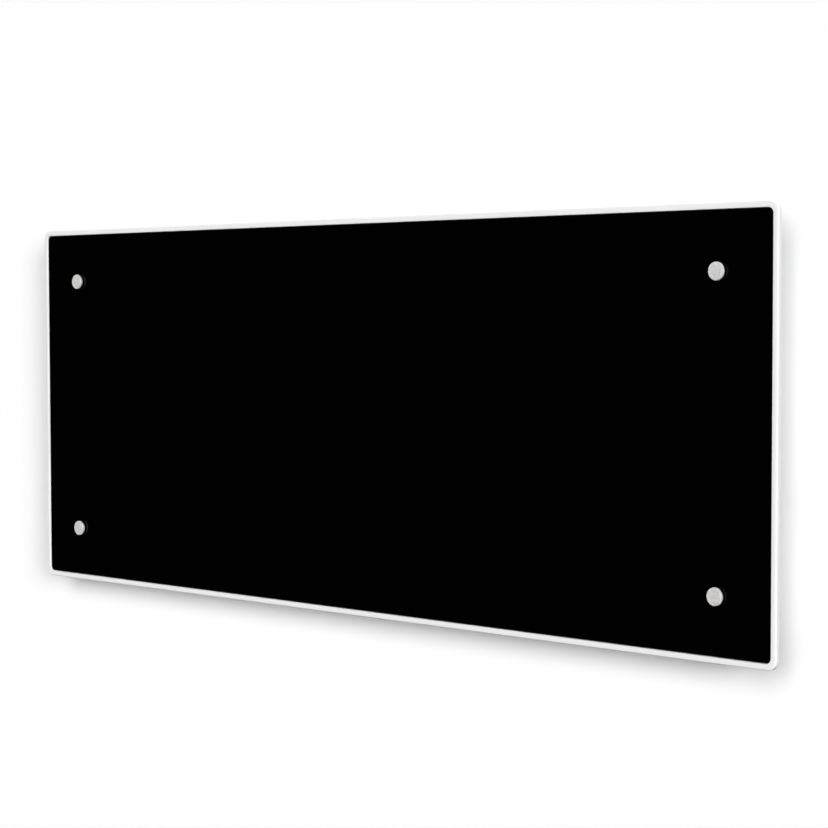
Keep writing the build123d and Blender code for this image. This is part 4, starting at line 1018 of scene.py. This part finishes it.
cap_mesh = mesh_from(turned(cap_section, cap_steps, with_map=True), "cap")
caps = set_out(cap_mesh, 2 * cap_x, 2 * cap_z, 2, 2, finishes["cap_metal"])
cap_nodes = ["cap_top_left", "cap_top_right", "cap_bottom_left", "cap_bottom_right"]
add_piece("glass_caps", caps, cap_nodes, smooth_angle=cap_smooth_angle)

# %% [markdown]
# ### Screws and rivets
#
# Fourteen small screws hold the cover to the frame and two more hold the control housing. Rivets
# hold the hanger plates to the cover and the straps to the pan. Each head is a low dome, turned on
# the same lathe. A driver's recess could be cut with a Boolean, but it needs no cutting: a ring of
# the section may follow a cross instead of a circle, as long as it has as many points as its
# neighbours. Along each direction from the middle, the cross reaches as far as the further of its two
# bars does.

# %% A cross and a dome
head_steps = 48
dome_steps = 5
head_side = 0.2 * MM
arm_corner = math.pi / 12
nearly_zero = 1e-6


def cross(x, z, arm, steps):
    """Points of a cross with arms of that length, as x and z; steps is a multiple of 24."""
    half_w = arm * math.tan(arm_corner)
    points = []
    for step in range(steps):
        angle = 2 * math.pi * step / steps
        wide = max(abs(math.cos(angle)), nearly_zero)
        tall = max(abs(math.sin(angle)), nearly_zero)
        reach = max(min(arm / wide, half_w / tall), min(arm / tall, half_w / wide))
        points.append((x + reach * math.cos(angle), z + reach * math.sin(angle)))
    return points


def dome(flat_r, head_r, back, seat):
    """Points from a head's flat middle over its dome and down its short side."""
    rise = seat - head_side - back
    points = []
    for step in range(dome_steps + 1):
        angle = math.pi / 2 * step / dome_steps
        radius = flat_r + (head_r - flat_r) * math.sin(angle)
        points.append((radius, seat - head_side - rise * math.cos(angle)))
    return points + [(head_r, seat)]


print("the cross's inner corners lie", round(math.degrees(arm_corner)), "degrees off its arms")

# %% [markdown]
# A screw's section starts in the middle of its recess and ends at its tip. A blind rivet has a round
# pit in the middle instead, where its pin broke off. The proportions are shares of the head, the
# shank and the head's height, so that small and large ones look alike.

# %% Sections of screws and rivets
recess_arm_share = 0.5
recess_floor_share = 0.55
recess_depth_share = 0.6
screw_flat_share = 0.56
screw_tip_share = 0.7
pit_share = 0.55
pit_depth_share = 0.45
pit_rim_share = 1.3


def screw_section(head_r, shank_r, back, seat, end):
    """Half section of a screw with a cross recess in its head, which faces the wall."""
    arm = recess_arm_share * head_r
    recess = back + recess_depth_share * (seat - back)
    tip_r = screw_tip_share * shank_r
    section = [(0.0, recess), (recess_floor_share * arm, recess, cross), (arm, back, cross)]
    section += dome(screw_flat_share * head_r, head_r, back, seat)
    return section + [(shank_r, seat), (shank_r, end - shank_r + tip_r), (tip_r, end), (0.0, end)]


def rivet_section(head_r, shank_r, back, seat, tail):
    """Half section of a blind rivet; tail lists the points past its shank."""
    pit_r = pit_share * shank_r
    pit = back + pit_depth_share * (seat - back)
    section = [(0.0, pit), (pit_r, pit), (pit_r, back)]
    section += dome(pit_rim_share * pit_r, head_r, back, seat)
    return section + [(shank_r, seat)] + tail


def joined(meshes, name):
    """One mesh from several."""
    work = bmesh.new()
    for mesh in meshes:
        work.from_mesh(mesh)
    return mesh_from(work, name)


print("helpers:", screw_section.__name__, rivet_section.__name__, joined.__name__)

# %% [markdown]
# The screws stand in rows that their node's box gives: five along each long edge of the cover, two up
# each end, and one on either side of the control housing. Each is as long as its node is deep.

# %% Screws in rows
screw_head_r = 2.8 * MM
screw_shank_r = 1.25 * MM
screw_head_h = 1.8 * MM
screws_along = 5
steel = finishes[slot_of_node["cover_screws"]]


def node_screw(node, centre=(0.0, 0.0)):
    """A screw of a node, about that centre."""
    node_low, node_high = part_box(node)
    back = -node_high.y
    section = screw_section(screw_head_r, screw_shank_r, back, back + screw_head_h, -node_low.y)
    return mesh_from(turned(section, head_steps, centre), "screw")


screw_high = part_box("cover_screws")[1]
reach_x = screw_high.x - screw_head_r
reach_z = screw_high.z - screw_head_r
screw_inset = frame_w / 2 - reach_x
step_x = (reach_x - screw_inset) / (screws_along // 2)
cover_screw = node_screw("cover_screws")
along_edges = set_out(cover_screw, step_x, 2 * reach_z, screws_along, 2, steel)
up_ends = set_out(cover_screw, 2 * reach_x, reach_z, 2, 2, steel)
add_piece("cover_screw_set", joined([along_edges, up_ends], "screws"), ["cover_screws"])

ear_low, ear_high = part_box("housing_screws")
ear_centre = ((ear_low.x + ear_high.x) / 2, (ear_low.z + ear_high.z) / 2)
ear_spacing = ear_high.x - ear_low.x - 2 * screw_head_r
ear_pair = set_out(node_screw("housing_screws", ear_centre), ear_spacing, 0.0, 2, 1, steel)
add_piece("housing_screw_set", ear_pair, ["housing_screws"])

# %% [markdown]
# Twelve rivets come in four small grids, each with its own spacing. Two grids of four are the inner
# and the outer rivets of the two hanger plates. Two grids of two are the inner and the outer rivets
# of the two straps. Their depths are those of the sheets that they join.

# %% Rivets in rows
rivet_head_r = 3.5 * MM
rivet_shank_r = 2.0 * MM
rivet_tail_r = 3.0 * MM
rivet_back = 14.8 * MM
cover_back = 16.0 * MM
hanger_front = 18.5 * MM
rivet_end = 19.7 * MM
tail_edge = 0.4 * MM
hanger_x = 200.0 * MM
blade_offset = 17.25 * MM
hanger_rivet_z = 90.0 * MM
strap_centre = (-160.0 * MM, 40.0 * MM)
strap_rivet_r = 1.0 * MM
strap_rivet_back = 31.9 * MM
strap_back = 32.5 * MM
pan_floor = 34.1 * MM
strap_spacings = (96.0 * MM, 144.0 * MM)

zinc = finishes[slot_of_node["rivets"]]
hanger_tail = [
    (rivet_shank_r, hanger_front),
    (rivet_tail_r, hanger_front),
    (rivet_tail_r, rivet_end - tail_edge),
    (rivet_tail_r - tail_edge, rivet_end),
    (0.0, rivet_end),
]
hanger_rivet = rivet_section(rivet_head_r, rivet_shank_r, rivet_back, cover_back, hanger_tail)
hanger_mesh = mesh_from(turned(hanger_rivet, head_steps), "hanger_rivet")
rivet_sets = []
for reach in (hanger_x - blade_offset, hanger_x + blade_offset):
    rivet_sets.append(set_out(hanger_mesh, 2 * reach, 2 * hanger_rivet_z, 2, 2, zinc))
strap_tail = [(strap_rivet_r, pan_floor), (0.0, pan_floor)]
strap_rivet = rivet_section(2 * strap_rivet_r, strap_rivet_r, strap_rivet_back, strap_back, strap_tail)
strap_mesh = mesh_from(turned(strap_rivet, head_steps, strap_centre), "strap_rivet")
for spacing in strap_spacings:
    rivet_sets.append(set_out(strap_mesh, spacing, 0.0, 2, 1, zinc))
add_piece("rivet_set", joined(rivet_sets, "rivets"), ["rivets"])

# %% [markdown]
# ### Printed signs
#
# The keys and the rocker carry plain signs: power, plus and minus, and the bar and ring that mean on
# and off. They could be part of a material, but a mesh stays sharp from close by and in an export.
# Each is a flat ribbon drawn along a few points, a hair proud of the surface, like thick ink. A matrix
# says where the flat drawing lies, so that the ribbon can be drawn in two dimensions. A sign rides on
# the piece that it is printed on, and moves with it.

# %% Drawing a ribbon
ink_w = 0.55 * MM
ink_proud = 0.03 * MM
ink_sunk = 0.05 * MM
sign_steps = 28


def ribbon(work, points, place, closed=False, width=ink_w):
    """A flat closed strip along points in the plane that the matrix sets."""
    count = len(points)
    rings = []
    for i in range(count):
        before = points[i - 1] if closed or i > 0 else points[i]
        after = points[(i + 1) % count] if closed or i < count - 1 else points[i]
        along = (Vector(after) - Vector(before)).normalized()
        ring = []
        for side, height in ((-1, -ink_sunk), (1, -ink_sunk), (1, ink_proud), (-1, ink_proud)):
            shift = side * width / 2
            spot = Vector((points[i][0] - along.y * shift, points[i][1] + along.x * shift, height))
            ring.append(work.verts.new(place @ spot))
        rings.append(ring)
    strips(work, rings, closed)
    if not closed:
        work.faces.new(rings[0])
        work.faces.new(rings[-1])


def sign_arc(radius, start, end):
    """Points of an arc round the middle of a sign."""
    turns = [math.radians(start + (end - start) * step / sign_steps) for step in range(sign_steps + 1)]
    return [(radius * math.cos(angle), radius * math.sin(angle)) for angle in turns]


print("ink lines are", ink_w / MM, "mm wide")

# %% [markdown]
# The power sign is a ring with a gap at the top, and a bar in the gap. Plus and minus are straight
# lines. Where two lines would cross, one is in two halves, so that no faces lie inside each other.

# %% Signs on the three keys
sign_r = 1.8 * MM
sign_top = 90
half_gap = 38
bar_start = 0.5 * sign_r
bar_end = 1.35 * sign_r
half_ink = ink_w / 2
power_ring = sign_arc(sign_r, sign_top + half_gap, sign_top + 360 - half_gap)
sign_lines = {
    "power": [power_ring, [(0.0, bar_start), (0.0, bar_end)]],
    "plus": [
        [(-sign_r, 0.0), (sign_r, 0.0)],
        [(0.0, half_ink), (0.0, sign_r)],
        [(0.0, -half_ink), (0.0, -sign_r)],
    ],
    "minus": [[(-sign_r, 0.0), (sign_r, 0.0)]],
}
for name, lines in sign_lines.items():
    key_low, key_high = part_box(f"button_{name}")
    key_middle = (key_low + key_high) / 2
    key_top = Vector((key_middle.x, key_middle.y, key_high.z))
    work = bmesh.new()
    for line in lines:
        ribbon(work, line, Matrix.Translation(key_top))
    sign = mesh_from(work, "sign")
    add_piece(f"sign_{name}", sign, [f"button_{name}"], "white_plastic", lies_on=True)

# %% [markdown]
# The rocker has two faces that slope away from its waist, 10 degrees to each side of the middle. It
# rests switched off, so the upper face is square to the switch and the lower one stands out by 20
# degrees. Each mark is drawn in the plane of its face, which a product of plain turns and shifts
# gives: first the slope of the face, then the dip under the pivot, then the rocker's own turn.

# %% Marks on the rocker
body_low, body_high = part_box("switch_body")
bezel_t = 2.0 * MM
body_middle = (body_low + body_high) / 2
rocker_pivot = Vector((body_high.x - bezel_t, body_middle.y, body_middle.z))
rocker_dip = 2.0 * MM
rocker_half_turn = math.radians(10)
mark_reach = 4.6 * MM
mark_r = 1.5 * MM


def rocker_face(side):
    """The plane of the upper (1) or the lower (-1) face, as the rocker lies at rest."""
    slope = side * rocker_half_turn
    rest = Matrix.Rotation(-rocker_half_turn, 4, "Y")
    tilt = Matrix.Rotation(slope, 4, "Y")
    out_of_pivot = Matrix.Translation(rocker_pivot) @ rest @ Matrix.Translation((rocker_dip, 0, 0)) @ tilt
    drawing = Matrix(((0, 0, 1, 0), (1, 0, 0, 0), (0, 1, 0, side * mark_reach), (0, 0, 0, 1)))
    return out_of_pivot @ drawing


work = bmesh.new()
ribbon(work, sign_arc(mark_r, 0, 360)[:-1], rocker_face(1), closed=True)
ribbon(work, [(0.0, -mark_r), (0.0, mark_r)], rocker_face(-1))
marks = mesh_from(work, "marks")
add_piece("rocker_marks", marks, ["switch_rocker"], "white_plastic", lies_on=True)

# %% [markdown]
# ### Everything that is already right
#
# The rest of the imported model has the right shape. It could just be given its materials, but its
# meshes are loose triangles, which shade flat. So each is copied and merged, and then its rounded
# faces can be shaded smooth between its sharp edges.

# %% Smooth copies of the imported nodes
copy_smooth_angle = 30.0


def smooth_copy(node):
    """A merged copy of a node, with its finish."""
    source = frame["nodes"][node].data
    mesh = bpy.data.meshes.new(node)
    corners = [tuple(face.vertices) for face in source.polygons]
    mesh.from_pydata([vert.co.copy() for vert in source.vertices], [], corners)
    work = bmesh.new()
    work.from_mesh(mesh)
    bmesh.ops.remove_doubles(work, verts=work.verts, dist=merge_distance)
    work.to_mesh(mesh)
    work.free()
    add_piece(node + "_skin", mesh, [node], smooth_angle=copy_smooth_angle)


made_by_hand = {"front_frame", "glass_panel", "cover_screws", "housing_screws", "rivets", *cap_nodes}
for node in sorted(set(frame["nodes"]) - made_by_hand):
    smooth_copy(node)
print(len(pieces_made), "pieces")
